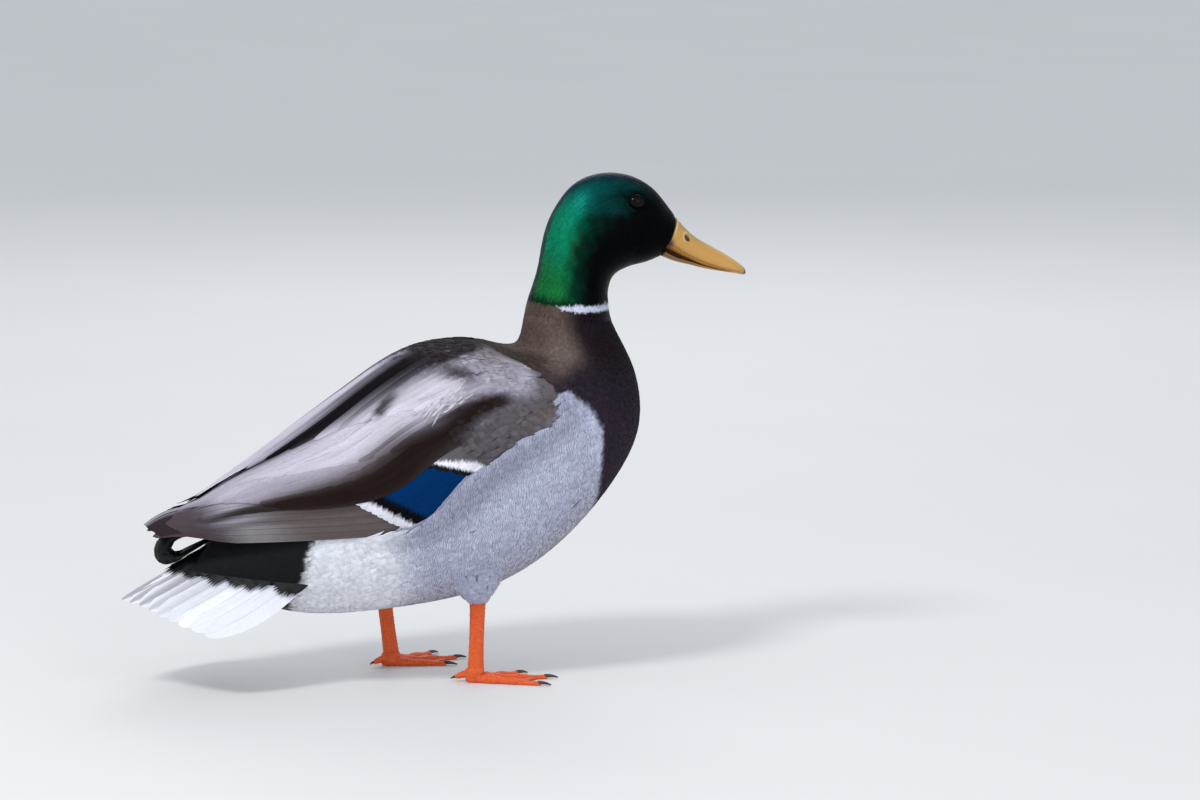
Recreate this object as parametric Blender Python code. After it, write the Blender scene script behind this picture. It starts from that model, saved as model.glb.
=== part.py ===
"""A standing mallard drake, life size, as a still model in separate solids.

Frame: metres, +Z up, floor at Z = 0. The duck faces +X and its right side is -Y.
The body is one loft over stations that run from the base of the bill, down the
neck and back to the root of the tail. Each station is a plane section through a
point on the back and a point on the belly. The head, neck, breast, trunk and rump
are lengths of that loft, parted by thin cuts, and the folded wings are slabs that
lie over it at a stated height. Tables are in millimetres.
"""

import math

import bmesh
import bpy
import numpy as np
from mathutils import Matrix, Vector

MM = 0.001
GAP = 0.3  # clearance between neighbouring solids, mm
MIDDLE_X = 3.3  # the middle of the whole length in these tables, put at X = 0

# Stations of the body: back x, z; belly x, z; half width; share of the height, from
# the back, where it is widest; fullness of the upper and of the lower half.
BODY = (
    (151.0, 271.4, 140.8, 248.2, 10.5, 0.55, 0.00, 0.05),  # 0 base of the bill
    (143.4, 281.4, 133.9, 245.6, 14.2, 0.56, -0.02, 0.05),
    (135.8, 289.8, 127.8, 244.0, 17.0, 0.58, -0.04, 0.05),  # 2 forehead
    (124.2, 296.6, 122.8, 242.9, 19.2, 0.59, -0.06, 0.02),
    (110.4, 299.2, 118.4, 241.4, 20.3, 0.59, -0.05, 0.00),  # 4 crown
    (97.2, 297.3, 114.7, 239.6, 20.5, 0.58, -0.02, 0.00),
    (86.4, 291.2, 111.9, 237.3, 20.2, 0.56, 0.00, 0.00),
    (78.4, 281.6, 110.1, 234.5, 19.7, 0.54, 0.00, 0.00),
    (72.0, 269.5, 109.1, 231.4, 19.4, 0.52, 0.00, 0.00),  # 8 nape
    (68.2, 254.6, 108.5, 227.8, 19.6, 0.50, 0.00, 0.00),
    (65.2, 239.6, 108.5, 223.6, 20.6, 0.50, 0.00, 0.00),
    (59.9, 223.4, 109.1, 217.0, 23.0, 0.50, 0.00, 0.00),  # 11 white ring
    (57.2, 210.2, 111.4, 208.6, 26.2, 0.48, 0.00, 0.00),
    (54.0, 198.8, 117.2, 196.8, 32.5, 0.46, 0.00, 0.00),  # 13 foot of the neck
    (46.9, 196.2, 123.6, 182.2, 41.0, 0.46, 0.02, 0.00),
    (36.4, 197.0, 127.0, 165.6, 48.5, 0.48, 0.04, 0.00),  # 15 shoulders
    (23.8, 196.6, 126.6, 149.6, 54.0, 0.50, 0.06, 0.02),
    (10.0, 194.6, 121.8, 133.8, 58.0, 0.50, 0.08, 0.04),
    (-6.3, 189.8, 110.6, 115.0, 61.0, 0.50, 0.08, 0.06),
    (-24.0, 179.6, 92.0, 92.4, 62.0, 0.50, 0.08, 0.08),  # 19 middle of the trunk
    (-43.4, 164.2, 65.4, 69.2, 60.5, 0.50, 0.06, 0.10),
    (-64.7, 146.0, 29.6, 51.6, 56.5, 0.50, 0.04, 0.10),
    (-87.5, 125.4, -16.4, 43.2, 49.5, 0.50, 0.02, 0.08),  # 22 vent
    (-108.7, 106.8, -62.7, 40.4, 40.5, 0.50, 0.00, 0.04),
    (-128.5, 90.0, -96.0, 45.2, 30.5, 0.48, 0.00, 0.00),
    (-143.0, 77.4, -121.0, 56.5, 20.0, 0.45, 0.00, 0.00),  # 25 root of the tail
)

# Stations of the bill: culmen x, z; lower edge x, z; half width; as for the body.
UPPER_BILL = (
    (151.2, 271.0, 143.0, 253.0, 10.4, 0.62, 0.00, -0.25),
    (156.5, 264.8, 149.4, 249.2, 10.2, 0.66, 0.00, -0.25),
    (163.5, 258.8, 158.0, 245.4, 10.0, 0.70, 0.04, -0.20),
    (172.0, 253.8, 167.8, 241.9, 10.3, 0.74, 0.10, -0.15),
    (180.5, 249.0, 178.2, 239.3, 11.2, 0.78, 0.16, -0.10),
    (187.0, 244.8, 186.2, 238.0, 11.4, 0.80, 0.20, -0.10),
    (191.0, 241.6, 190.7, 237.0, 9.2, 0.76, 0.20, 0.00),
    (193.4, 238.8, 193.2, 235.8, 4.6, 0.60, 0.10, 0.00),
)
LOWER_BILL = (
    (142.6, 252.2, 141.0, 248.6, 8.6, 0.40, 0.20, 0.20),
    (149.6, 248.4, 148.6, 245.4, 8.5, 0.40, 0.20, 0.20),
    (158.4, 244.6, 157.6, 242.2, 8.4, 0.40, 0.20, 0.20),
    (168.0, 241.2, 167.6, 239.4, 8.6, 0.40, 0.20, 0.20),
    (178.6, 238.7, 178.4, 237.4, 9.0, 0.40, 0.20, 0.20),
    (186.4, 237.5, 186.4, 236.4, 7.6, 0.40, 0.20, 0.20),
    (190.0, 236.9, 190.0, 236.1, 4.0, 0.40, 0.20, 0.20),
)

# The folded wing over the body: station; angle of its lower edge, degrees round from
# the back; height of its surface over the body on the back and at that edge; thickness.
WING = (
    (15.0, 50, 2.8, 2.5, 1.0),
    (15.4, 70, 3.8, 2.7, 1.7),
    (16.0, 84, 5.2, 2.9, 2.6),
    (17.0, 93, 7.0, 3.2, 4.0),
    (18.0, 90, 9.0, 3.5, 5.2),
    (19.0, 86, 10.6, 3.8, 5.8),
    (20.0, 84, 12.4, 4.2, 6.0),
    (21.0, 88, 15.2, 4.6, 5.6),
    (22.0, 76, 18.8, 5.2, 5.0),
    (23.0, 60, 23.0, 8.4, 4.4),
    (24.0, 44, 26.4, 14.0, 3.6),
)
BACK_LINE = 0.25  # the two wings part this far from the middle plane, mm
SCAPULAR_EDGE = 0.52  # share of the way down the wing
# Tip of the wing on the left, from the back line to the lower edge.
WING_TIP = ((-175.6, 1.2, 96.0), (-174.6, 7.0, 94.6), (-169.0, 13.5, 92.2))
WING_TIP_THICKNESS = 1.2

EYE_PLACE = (123.0, 12.6, 282.4)  # centre of the eyeball on the left, mm
EYE_RADIUS = 6.0
EYE_STRETCH = (1.0, 0.75, 1.0)

# Legs: x and y of the shank over its foot, lean of the shank forward, and how far
# the toes turn towards +Y, degrees.
LEGS = {
    "right": {"x": 20.0, "y": -31.0, "lean": 2.0, "turn": -3.0},
    "left": {"x": -18.0, "y": 31.0, "lean": -7.0, "turn": 14.0},
}
SHANK_TOP = 49.0
SHANK_LENGTHWAYS = 4.4  # half sizes of the flattened shank
SHANK_ACROSS = 3.2
# The feathered thigh: height over the shank; half length and half width; how far back.
THIGH = (
    (GAP, 7.5, 6.0, 0.0),
    (3.0, 10.5, 8.5, 0.5),
    (8.0, 13.5, 11.0, 1.5),
    (16.0, 16.0, 13.0, 3.0),
    (26.0, 16.0, 13.0, 5.0),
)
FOOT_HEIGHT = 8.5  # top of the foot under the shank
HEEL = ((0.5, 5.2, 4.4), (2.5, 6.0, 5.0), (6.0, 5.6, 4.6), (FOOT_HEIGHT, 5.2, 4.0))
HEEL_BACK = 4.0  # the toes meet this far behind the shank
# The toes: angle away from the middle plane of the duck, degrees; length.
TOES = (("inner", -27.0, 37.0), ("middle", -1.5, 47.5), ("outer", 25.0, 44.0))
TOE_HALF_WIDTH = (3.2, 1.7)  # at its root and at its tip
TOE_HEIGHT = (6.4, 2.6)
# Section of a toe, as shares of its half width and height, over a flat sole.
TOE_SECTION = ((-0.8, 0), (-1, 0.35), (-0.62, 0.86), (0, 1), (0.62, 0.86), (1, 0.35), (0.8, 0))
WEB_LEVELS = (0.6, 1.7)  # under and upper side of the web
HALLUX_LENGTH = 10.0
CLAW_LENGTH = 6.5

# The tail fan on the left: root and tip of the middle and of the outermost feather.
TAIL_MIDDLE = ((-116.0, 0.0, 92.0), (-187.6, 0.0, 53.4))
TAIL_OUTER = ((-80.0, 35.0, 66.0), (-142.0, 48.0, 36.8))
TAIL_CURVE = 1.4  # how slowly the fan turns down from its middle
TAIL_BELLY = 4.0  # outward bend of the outermost feather
TAIL_FEATHERS = 18
TAIL_THICKNESS = 1.8

# The curled feathers over the tail, in side view: their outer and their inner line.
CURL_OUTER = (
    (-134.0, 84.8), (-145.0, 79.8), (-153.0, 75.7), (-160.0, 73.3), (-165.2, 75.7),
    (-166.8, 81.0), (-165.0, 87.0), (-159.8, 91.6), (-152.5, 93.2), (-145.5, 92.0),
)
CURL_INNER = (
    (-134.0, 88.8), (-144.0, 84.0), (-149.6, 81.0), (-154.2, 79.4), (-157.2, 80.8),
    (-158.0, 84.0), (-156.4, 87.0), (-153.2, 89.0), (-149.2, 90.0), (-145.5, 90.4),
)
CURL_HALF_WIDTH = (5.0, 6.5, 7.2, 7.4, 7.2, 6.8, 6.2, 5.4, 4.4, 3.0)


def natural_spline(knots, values):
    """The natural cubic spline through values at the knots, as a function."""
    knots = np.asarray(knots, float)
    values = np.asarray(values, float)
    step = np.diff(knots)
    slope = np.diff(values, axis=0) / step[:, None]
    count = len(knots)
    system = np.eye(count)
    right = np.zeros_like(values)
    for i in range(1, count - 1):
        system[i, i - 1 : i + 2] = step[i - 1], 2 * (step[i - 1] + step[i]), step[i]
        right[i] = 6 * (slope[i] - slope[i - 1])
    second = np.linalg.solve(system, right)

    def at(t):
        t = np.asarray(t, float)
        i = np.clip(np.searchsorted(knots, t, side="right") - 1, 0, count - 2)
        h = step[i][..., None]
        a = ((knots[i + 1] - t) / step[i])[..., None]
        b = 1 - a
        bend = (a**3 - a) * second[i] + (b**3 - b) * second[i + 1]
        return a * values[i] + b * values[i + 1] + bend * h * h / 6

    return at


class Loft:
    """A smooth body through stations. s runs along it, and angle round it from the back."""

    def __init__(self, stations):
        self.columns = natural_spline(np.arange(len(stations)), stations)
        self.last = len(stations) - 1

    def point(self, s, angle):
        row = self.columns(s)
        x0, z0, x1, z1, half, widest, upper, lower = np.moveaxis(row, -1, 0)
        c, sine = np.cos(angle), np.sin(angle)
        share = np.where(c > 0, widest * (1 - c), widest - (1 - widest) * c)
        full = np.where(c > 0, upper, lower)
        y = half * sine * (1 + full * c * c)
        return np.stack([x0 + share * (x1 - x0), y, z0 + share * (z1 - z0)], -1)

    def normal(self, s, angle):
        e = 1e-3
        along = self.point(s + e, angle) - self.point(s - e, angle)
        around = self.point(s, angle + e) - self.point(s, angle - e)
        n = np.cross(around, along)
        return n / np.linalg.norm(n, axis=-1, keepdims=True)

    def over(self, s, angle, height):
        s, angle = np.broadcast_arrays(np.asarray(s, float), np.asarray(angle, float))
        height = np.broadcast_to(height, s.shape)
        return self.point(s, angle) + self.normal(s, angle) * height[..., None]


body = Loft(BODY)
wing_row = natural_spline([row[0] for row in WING], [row[1:] for row in WING])


def clear_scene():
    for obj in list(bpy.data.objects):
        bpy.data.objects.remove(obj)


def collection(name):
    made = bpy.data.collections.new(name)
    bpy.context.scene.collection.children.link(made)
    return made


def material(name, colour, roughness, metallic=0.0):
    made = bpy.data.materials.new(name)
    made.use_nodes = True
    shader = made.node_tree.nodes["Principled BSDF"]
    shader.inputs["Base Color"].default_value = (*colour, 1)
    shader.inputs["Roughness"].default_value = roughness
    shader.inputs["Metallic"].default_value = metallic
    return made


def add_object(name, bm, finish, group):
    """Makes an object from bm, whose units are millimetres, with faces pointing out."""
    bmesh.ops.recalc_face_normals(bm, faces=bm.faces)
    bm.transform(Matrix.Scale(MM, 4) @ Matrix.Translation((-MIDDLE_X, 0, 0)))
    mesh = bpy.data.meshes.new(name)
    bm.to_mesh(mesh)
    bm.free()
    mesh.materials.append(finish)
    mesh.shade_smooth()
    mesh.set_sharp_from_angle(angle=math.radians(45))
    obj = bpy.data.objects.new(name, mesh)
    group.objects.link(obj)
    return obj


def cut(obj, cutter):
    modifier = obj.modifiers.new("cut by " + cutter.name, "BOOLEAN")
    modifier.operation = "DIFFERENCE"
    modifier.object = cutter


def as_cutter(obj):
    obj.hide_render = True
    obj.display_type = "WIRE"
    return obj


def ring_stack(rings):
    """Closes a stack of rings of points, from first to last, into one body."""
    bm = bmesh.new()
    rows = [[bm.verts.new(Vector(p)) for p in ring] for ring in rings]
    count = len(rows[0])
    for a, b in zip(rows, rows[1:]):
        for i in range(count):
            j = (i + 1) % count
            bm.faces.new((a[i], a[j], b[j], b[i]))
    bm.faces.new(rows[0])
    bm.faces.new(rows[-1])
    return bm


def slab(outer, inner):
    """Closes the space between two grids of points of the same shape."""
    bm = bmesh.new()
    rows, columns = len(outer), len(outer[0])
    top = [[bm.verts.new(Vector(p)) for p in row] for row in outer]
    under = [[bm.verts.new(Vector(p)) for p in row] for row in inner]
    for grid in (top, under):
        for i in range(rows - 1):
            for j in range(columns - 1):
                bm.faces.new((grid[i][j], grid[i][j + 1], grid[i + 1][j + 1], grid[i + 1][j]))
    rim = [(i, 0) for i in range(rows)]
    rim += [(rows - 1, j) for j in range(1, columns)]
    rim += [(i, columns - 1) for i in range(rows - 2, -1, -1)]
    rim += [(0, j) for j in range(columns - 2, 0, -1)]
    for (i, j), (k, m) in zip(rim, rim[1:] + rim[:1]):
        bm.faces.new((top[i][j], top[k][m], under[k][m], under[i][j]))
    return bm


def section_normal(loft, s):
    """Unit normal of the plane of station s, pointing along the loft."""
    row = loft.columns(s)
    chord = Vector((row[2] - row[0], 0, row[3] - row[1])).normalized()
    return np.array(chord.cross(Vector((0, 1, 0))))


def loft_length(name, loft, start, end, steps, around, finish, group):
    """The part of a loft between two stations, pulled in by half the gap at each cut."""
    angles = np.linspace(0, math.tau, around, endpoint=False)
    rings = []
    for s in np.linspace(start, end, steps + 1):
        rings.append(loft.point(np.full(around, s), angles))
    ahead = rings[1].mean(axis=0) - rings[0].mean(axis=0)
    for ring, s, inwards in ((0, start, 1), (-1, end, -1)):
        normal = section_normal(loft, s)
        normal = normal * np.sign(normal @ ahead)
        rings[ring] = rings[ring] + normal * inwards * GAP / 2
    return add_object(name, ring_stack(rings), finish, group)


def build_body(finishes, group):
    """Head, neck, breast, trunk and rump, one behind the other."""
    lengths = (
        ("head", 0.0, 8.0, 12, 24, "green"),
        ("neck", 8.0, 11.0, 4, 24, "green"),
        ("neck_base", 11.0, 13.4, 4, 28, "brown"),
        ("breast", 13.4, 17.0, 8, 34, "brown"),
        ("trunk", 17.0, 22.4, 11, 36, "grey"),
        ("rump", 22.4, 25.0, 6, 32, "black"),
    )
    made = {}
    for name, start, end, steps, around, finish in lengths:
        made[name] = loft_length(
            name, body, start, end, steps, around, finishes[finish], group
        )
    return made


def wing_surface(s, share, below):
    """A point of the folded left wing, share 0 on the back line to 1 at its lower edge."""
    low, top_height, low_height, thick = np.moveaxis(wing_row(s), -1, 0)
    first = BACK_LINE / body.columns(s)[..., 4]
    angle = first + share * (np.radians(low) - first)
    height = top_height + (low_height - top_height) * share**2
    if below:
        height = np.maximum(height - thick, 1.4)
    place = body.over(s, angle, height)
    place[..., 1] = np.maximum(place[..., 1], BACK_LINE)
    return place


def wing_piece(name, bounds, steps, across, side, finish, group):
    """A part of the folded wing between two stations and two shares of its depth."""
    start, end, first, last = bounds
    s, share = np.meshgrid(
        np.linspace(start, end, steps + 1),
        np.linspace(first, last, across + 1),
        indexing="ij",
    )
    outer, inner = wing_surface(s, share, False), wing_surface(s, share, True)
    mirror = np.array([1, 1 if side == "left" else -1, 1])
    add_object(f"{name}_{side}", slab(outer * mirror, inner * mirror), finish, group)


def wing_tip(side, start, finish, group):
    """The primaries, drawn out from the end of the folded wing to their tip."""
    share = np.linspace(0, 1, 9)
    station = np.full(share.shape, start)
    outer = wing_surface(station, share, False)
    inner = wing_surface(station, share, True)
    end = natural_spline((0, 0.5, 1), WING_TIP)(share)
    under = end - np.array([0, 0, WING_TIP_THICKNESS])
    along = np.linspace(0, 1, 6)[:, None, None]
    bulge = 3.0 * np.sin(math.pi * along) * np.array([-0.2, 0.0, 1.0])
    mirror = np.array([1, 1 if side == "left" else -1, 1])
    grids = [
        (first * (1 - along) + last * along + bulge) * mirror
        for first, last in ((outer, end), (inner, under))
    ]
    add_object(f"wing_tip_{side}", slab(*grids), finish, group)


def build_wing(side, finishes, group):
    """Scapulars, wing with the blue speculum, long inner feathers and primaries."""
    edge = SCAPULAR_EDGE
    below = edge + 0.012
    pieces = (
        ("scapulars", (15.0, 20.90, 0.0, edge), 9, 7, "pale"),
        ("wing", (15.0, 21.20, below, 1.0), 10, 6, "taupe"),
        ("tertials", (20.94, 23.96, 0.0, edge), 6, 7, "pale"),
        ("speculum", (21.24, 22.60, below, 1.0), 3, 6, "blue"),
        ("primaries", (22.64, 23.96, below, 1.0), 3, 6, "dark"),
    )
    for name, bounds, steps, across, finish in pieces:
        wing_piece(name, bounds, steps, across, side, finishes[finish], group)
    wing_tip(side, 24.0, finishes["dark"], group)


def build_bill(finishes, group):
    around = 16
    angles = np.linspace(0, math.tau, around, endpoint=False)
    for name, stations, steps in (("bill_upper", UPPER_BILL, 11), ("bill_lower", LOWER_BILL, 7)):
        loft = Loft(stations)
        places = np.linspace(0, loft.last, steps + 1)
        rings = [loft.point(np.full(around, s), angles) for s in places]
        ahead = section_normal(loft, 0)
        rings[0] = rings[0] + ahead * np.sign(ahead[0]) * GAP
        if name == "bill_lower":
            rings = [ring - np.array([0, 0, GAP]) for ring in rings]
        add_object(name, ring_stack(rings), finishes["bill"], group)


def build_eyes(head, finishes, group, cutters):
    """An eyeball on each side, in a socket of the head."""
    for side, sign in (("left", 1), ("right", -1)):
        place = Matrix.Translation((EYE_PLACE[0], sign * EYE_PLACE[1], EYE_PLACE[2]))
        for radius in (EYE_RADIUS, EYE_RADIUS + GAP):
            bm = bmesh.new()
            bmesh.ops.create_uvsphere(bm, u_segments=12, v_segments=7, radius=radius)
            bm.transform(place @ Matrix.Diagonal((*EYE_STRETCH, 1)))
            if radius == EYE_RADIUS:
                add_object(f"eye_{side}", bm, finishes["eye"], group)
            else:
                socket = add_object(f"socket_{side}", bm, finishes["eye"], cutters)
                cut(head, as_cutter(socket))


def oval_ring(centre, half_x, half_y, count=12):
    """A level oval of points about a centre."""
    angles = np.linspace(0, math.tau, count, endpoint=False)
    x = centre[0] + half_x * np.cos(angles)
    y = centre[1] + half_y * np.sin(angles)
    return np.stack([x, y, np.full(count, centre[2])], -1)


def build_shank(side, leg, finishes, group):
    """The bare flattened shank, from the foot up to the feathered thigh."""
    slope = math.tan(math.radians(leg["lean"]))
    rings = []
    bottom = FOOT_HEIGHT + GAP
    for t in np.linspace(0, 1, 7):
        z = bottom + t * (SHANK_TOP - bottom)
        swell = 1 + 0.22 * (1 - t) ** 4 + 0.16 * t**3
        centre = (leg["x"] + slope * (z - bottom), leg["y"], z)
        rings.append(oval_ring(centre, SHANK_LENGTHWAYS * swell, SHANK_ACROSS * swell))
    add_object(f"shank_{side}", ring_stack(rings), finishes["orange"], group)


def build_thigh(side, leg, trunk_cutter, finishes, group):
    """The feathered thigh between the belly and the shank, cut clear of the belly."""
    slope = math.tan(math.radians(leg["lean"]))
    x = leg["x"] + slope * (SHANK_TOP - FOOT_HEIGHT)
    rings = []
    for height, half_x, half_y, back in THIGH:
        centre = (x - back, leg["y"], SHANK_TOP + height)
        rings.append(oval_ring(centre, half_x, half_y, 20))
    thigh = add_object(f"thigh_{side}", ring_stack(rings), finishes["grey"], group)
    cut(thigh, trunk_cutter)


def tube(points, radii, count=8):
    """Rings along a path, closed at both ends."""
    points = [Vector(p) for p in points]
    rings = []
    for i, point in enumerate(points):
        ahead = points[min(i + 1, len(points) - 1)] - points[max(i - 1, 0)]
        side = ahead.cross(Vector((0, 0, 1))).normalized()
        up = side.cross(ahead).normalized()
        ring = []
        for k in range(count):
            angle = math.tau * k / count
            ring.append(point + radii[i] * (side * math.cos(angle) + up * math.sin(angle)))
        rings.append(ring)
    return ring_stack(rings)


def join(obj, bm, finish, cutters):
    """Unites bm with obj by a Boolean."""
    number = len(obj.modifiers) + 1
    other = as_cutter(add_object(f"{obj.name}_added_{number}", bm, finish, cutters))
    modifier = obj.modifiers.new(f"join {number}", "BOOLEAN")
    modifier.operation = "UNION"
    modifier.object = other


def toe_way(leg, away):
    """The way a toe points, for its angle away from the duck's middle plane."""
    outwards = math.copysign(1, leg["y"])
    angle = math.radians(leg["turn"] + outwards * away)
    return Vector((math.cos(angle), math.sin(angle), 0))


def toe(leg, away, length):
    """A toe with a flat sole on the floor and slight swellings at its joints."""
    way = toe_way(leg, away)
    aside = Vector((-way.y, way.x, 0))
    heel = Vector((leg["x"] - HEEL_BACK, leg["y"], 0))
    rings = []
    for t in np.linspace(0, 1, 7):
        swell = 1 + 0.08 * math.cos(3 * math.tau * t)
        half = (TOE_HALF_WIDTH[0] + (TOE_HALF_WIDTH[1] - TOE_HALF_WIDTH[0]) * t) * swell
        high = (TOE_HEIGHT[0] + (TOE_HEIGHT[1] - TOE_HEIGHT[0]) * t**0.8) * swell
        centre = heel + way * length * t
        rings.append(
            [centre + aside * half * a + Vector((0, 0, high * b)) for a, b in TOE_SECTION]
        )
    return ring_stack(rings)


def web(leg, first, second):
    """The web between two toes, with a hollowed front edge."""
    heel = Vector((leg["x"] - HEEL_BACK, leg["y"], 0))
    grids = []
    for level in WEB_LEVELS:
        grid = []
        for share in np.linspace(0, 1, 7):
            away = first[1] + (second[1] - first[1]) * share
            length = first[2] + (second[2] - first[2]) * share
            reach = length * (0.93 - 0.17 * math.sin(math.pi * share))
            way = toe_way(leg, away)
            grid.append([heel + way * r + Vector((0, 0, level)) for r in (6, 0.5 * reach, reach)])
        grids.append(grid)
    return slab(grids[1], grids[0])


def hallux(leg):
    """The small raised hind toe, as its path back from the heel."""
    inwards = -math.copysign(1, leg["y"])
    start = Vector((leg["x"] - 2.5, leg["y"] + 1.0 * inwards, 5.8))
    way = Vector((-0.85, 0.20 * inwards, -0.26)).normalized()
    return [start + way * HALLUX_LENGTH * t for t in (0, 0.4, 0.75, 1.0)], way


def build_foot(side, leg, finishes, group, cutters):
    """Heel, three toes with the web between them, and the hind toe, as one body."""
    x, y = leg["x"], leg["y"]
    heel = ring_stack([oval_ring((x - 0.5, y, z), a, b) for z, a, b in HEEL])
    foot = add_object(f"foot_{side}", heel, finishes["orange"], group)
    for _, away, length in TOES:
        join(foot, toe(leg, away, length), finishes["orange"], cutters)
    for first, second in zip(TOES, TOES[1:]):
        join(foot, web(leg, first, second), finishes["orange"], cutters)
    path, _ = hallux(leg)
    join(foot, tube(path, (2.3, 2.1, 1.8, 1.2)), finishes["orange"], cutters)


def build_claws(side, leg, finishes, group):
    heel = Vector((leg["x"] - HEEL_BACK, leg["y"], 0))
    for name, away, length in TOES:
        way = toe_way(leg, away)
        path = []
        for t in (0, 0.5, 1.0):
            rise = Vector((0, 0, 1.65 - 0.75 * t * t))
            path.append(heel + way * (length + GAP + CLAW_LENGTH * t) + rise)
        claw = tube(path, (1.2, 0.9, 0.35), 7)
        add_object(f"claw_{side}_{name}", claw, finishes["claw"], group)
    path, way = hallux(leg)
    hind = [path[-1] + way * (GAP + t) for t in (0, 1.2, 2.4)]
    claw = tube(hind, (1.0, 0.7, 0.3), 7)
    add_object(f"claw_{side}_hind", claw, finishes["claw"], group)


def build_legs(trunk_cutter, finishes, group, cutters):
    for side, leg in LEGS.items():
        build_shank(side, leg, finishes, group)
        build_thigh(side, leg, trunk_cutter, finishes, group)
        build_foot(side, leg, finishes, group, cutters)
        build_claws(side, leg, finishes, group)


def tail_point(share, along):
    """A point of the tail fan: share -1 to 1 from right to left, along 0 to 1."""
    part = abs(share)
    mix = np.array([part**TAIL_CURVE, part, part**TAIL_CURVE])
    middle, outer = np.array(TAIL_MIDDLE), np.array(TAIL_OUTER)
    root = middle[0] * (1 - mix) + outer[0] * mix
    tip = middle[1] * (1 - mix) + outer[1] * mix
    bend = TAIL_BELLY * math.sin(math.pi * along) * part * np.array([0, 0.6, -0.8])
    place = root * (1 - along) + tip * along + bend
    return place * np.array([1, math.copysign(1, share), 1])


def build_tail(rump_cutter, finishes, group):
    """The fan of tail feathers, with a pointed tip for each feather."""
    top, under = [], []
    steps = TAIL_FEATHERS * 2
    for i in range(steps + 1):
        share = 2 * i / steps - 1
        beside = 1 - i % 2  # 0 on a feather's shaft, 1 at its edge
        out = np.array([0, 0.75 * share, math.sqrt(1 - (0.75 * share) ** 2)])
        row_top, row_under = [], []
        for t in np.linspace(0, 1, 5):
            place = tail_point(share, t * (1 - 0.09 * beside**2))
            half = out * TAIL_THICKNESS / 2 * (1 - 0.5 * t)
            row_top.append(place + half)
            row_under.append(place - half)
        top.append(row_top)
        under.append(row_under)
    tail = add_object("tail", slab(top, under), finishes["white"], group)
    cut(tail, rump_cutter)


def build_curl(rump_cutter, finishes, group):
    """The drake's curled feathers over the tail, as one band rolled up and forward."""
    knots = np.arange(len(CURL_HALF_WIDTH))
    places = np.linspace(0, knots[-1], 13)
    half = np.interp(places, knots, CURL_HALF_WIDTH)
    grids = []
    for line in (CURL_INNER, CURL_OUTER):
        x, z = natural_spline(knots, line)(places).T
        grids.append([[(a, b * k, c) for k in (-1, 0, 1)] for a, b, c in zip(x, half, z)])
    curl = add_object("tail_curl", slab(*grids), finishes["black"], group)
    cut(curl, rump_cutter)


def grown_cutter(name, start, end, steps, around, grow, finish, cutters):
    """A length of the body, grown by a clearance, for cutting its neighbours."""
    angles = np.linspace(0, math.tau, around, endpoint=False)
    rings = [
        body.over(np.full(around, s), angles, grow) for s in np.linspace(start, end, steps + 1)
    ]
    return as_cutter(add_object(name, ring_stack(rings), finish, cutters))


def main():
    clear_scene()
    group = collection("mallard_drake")
    cutters = collection("cutters")
    finishes = {
        "green": material("head_green", (0.006, 0.12, 0.06), 0.35),
        "brown": material("breast_brown", (0.055, 0.030, 0.030), 0.6),
        "grey": material("flank_grey", (0.44, 0.43, 0.46), 0.7),
        "black": material("rump_black", (0.008, 0.009, 0.010), 0.5),
        "white": material("tail_white", (0.74, 0.74, 0.76), 0.6),
        "pale": material("scapular_grey", (0.38, 0.35, 0.35), 0.6),
        "taupe": material("wing_taupe", (0.13, 0.11, 0.10), 0.6),
        "blue": material("speculum_blue", (0.004, 0.06, 0.24), 0.35),
        "dark": material("primary_brown", (0.09, 0.07, 0.075), 0.55),
        "bill": material("bill_yellow", (0.68, 0.40, 0.08), 0.4),
        "orange": material("leg_orange", (0.75, 0.16, 0.02), 0.45),
        "claw": material("claw_horn", (0.03, 0.02, 0.02), 0.4),
        "eye": material("eye_brown", (0.012, 0.008, 0.008), 0.08),
    }
    lengths = build_body(finishes, group)
    build_wing("left", finishes, group)
    build_wing("right", finishes, group)
    build_bill(finishes, group)
    build_eyes(lengths["head"], finishes, group, cutters)
    grown_trunk = grown_cutter(
        "grown_trunk", 17.0, 23.5, 14, 40, 2 * GAP, finishes["grey"], cutters
    )
    grown_rump = grown_cutter(
        "grown_rump", 22.0, 25.02, 8, 32, 2 * GAP, finishes["black"], cutters
    )
    build_legs(grown_trunk, finishes, group, cutters)
    build_tail(grown_rump, finishes, group)
    build_curl(grown_rump, finishes, group)


main()
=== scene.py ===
"""Looks of a standing mallard drake: plumage, skin, bill, eyes and legs on its solids.

The tables of stations are those of the solids, in millimetres, with the duck facing
+X and its left side +Y. A bed is a surface with two coordinates: station and angle
from the back on the body, station and share of its depth on a folded wing, length and
share of the fan on the tail. Every feather is a closed vane laid on a bed.
"""

import math

import bpy
import numpy as np
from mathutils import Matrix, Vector


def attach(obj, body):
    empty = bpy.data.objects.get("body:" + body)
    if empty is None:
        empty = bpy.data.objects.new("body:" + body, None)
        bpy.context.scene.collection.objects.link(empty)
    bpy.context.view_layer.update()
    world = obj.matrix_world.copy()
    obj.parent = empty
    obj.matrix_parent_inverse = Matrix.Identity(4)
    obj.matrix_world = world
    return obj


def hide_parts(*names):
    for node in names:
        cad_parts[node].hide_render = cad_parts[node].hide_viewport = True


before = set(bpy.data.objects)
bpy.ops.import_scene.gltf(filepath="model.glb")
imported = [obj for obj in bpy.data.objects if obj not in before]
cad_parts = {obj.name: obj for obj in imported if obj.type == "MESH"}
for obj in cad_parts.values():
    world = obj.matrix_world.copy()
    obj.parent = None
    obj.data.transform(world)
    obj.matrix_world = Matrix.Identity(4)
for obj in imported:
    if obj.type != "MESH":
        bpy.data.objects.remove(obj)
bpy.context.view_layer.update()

MM = 0.001
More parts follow.
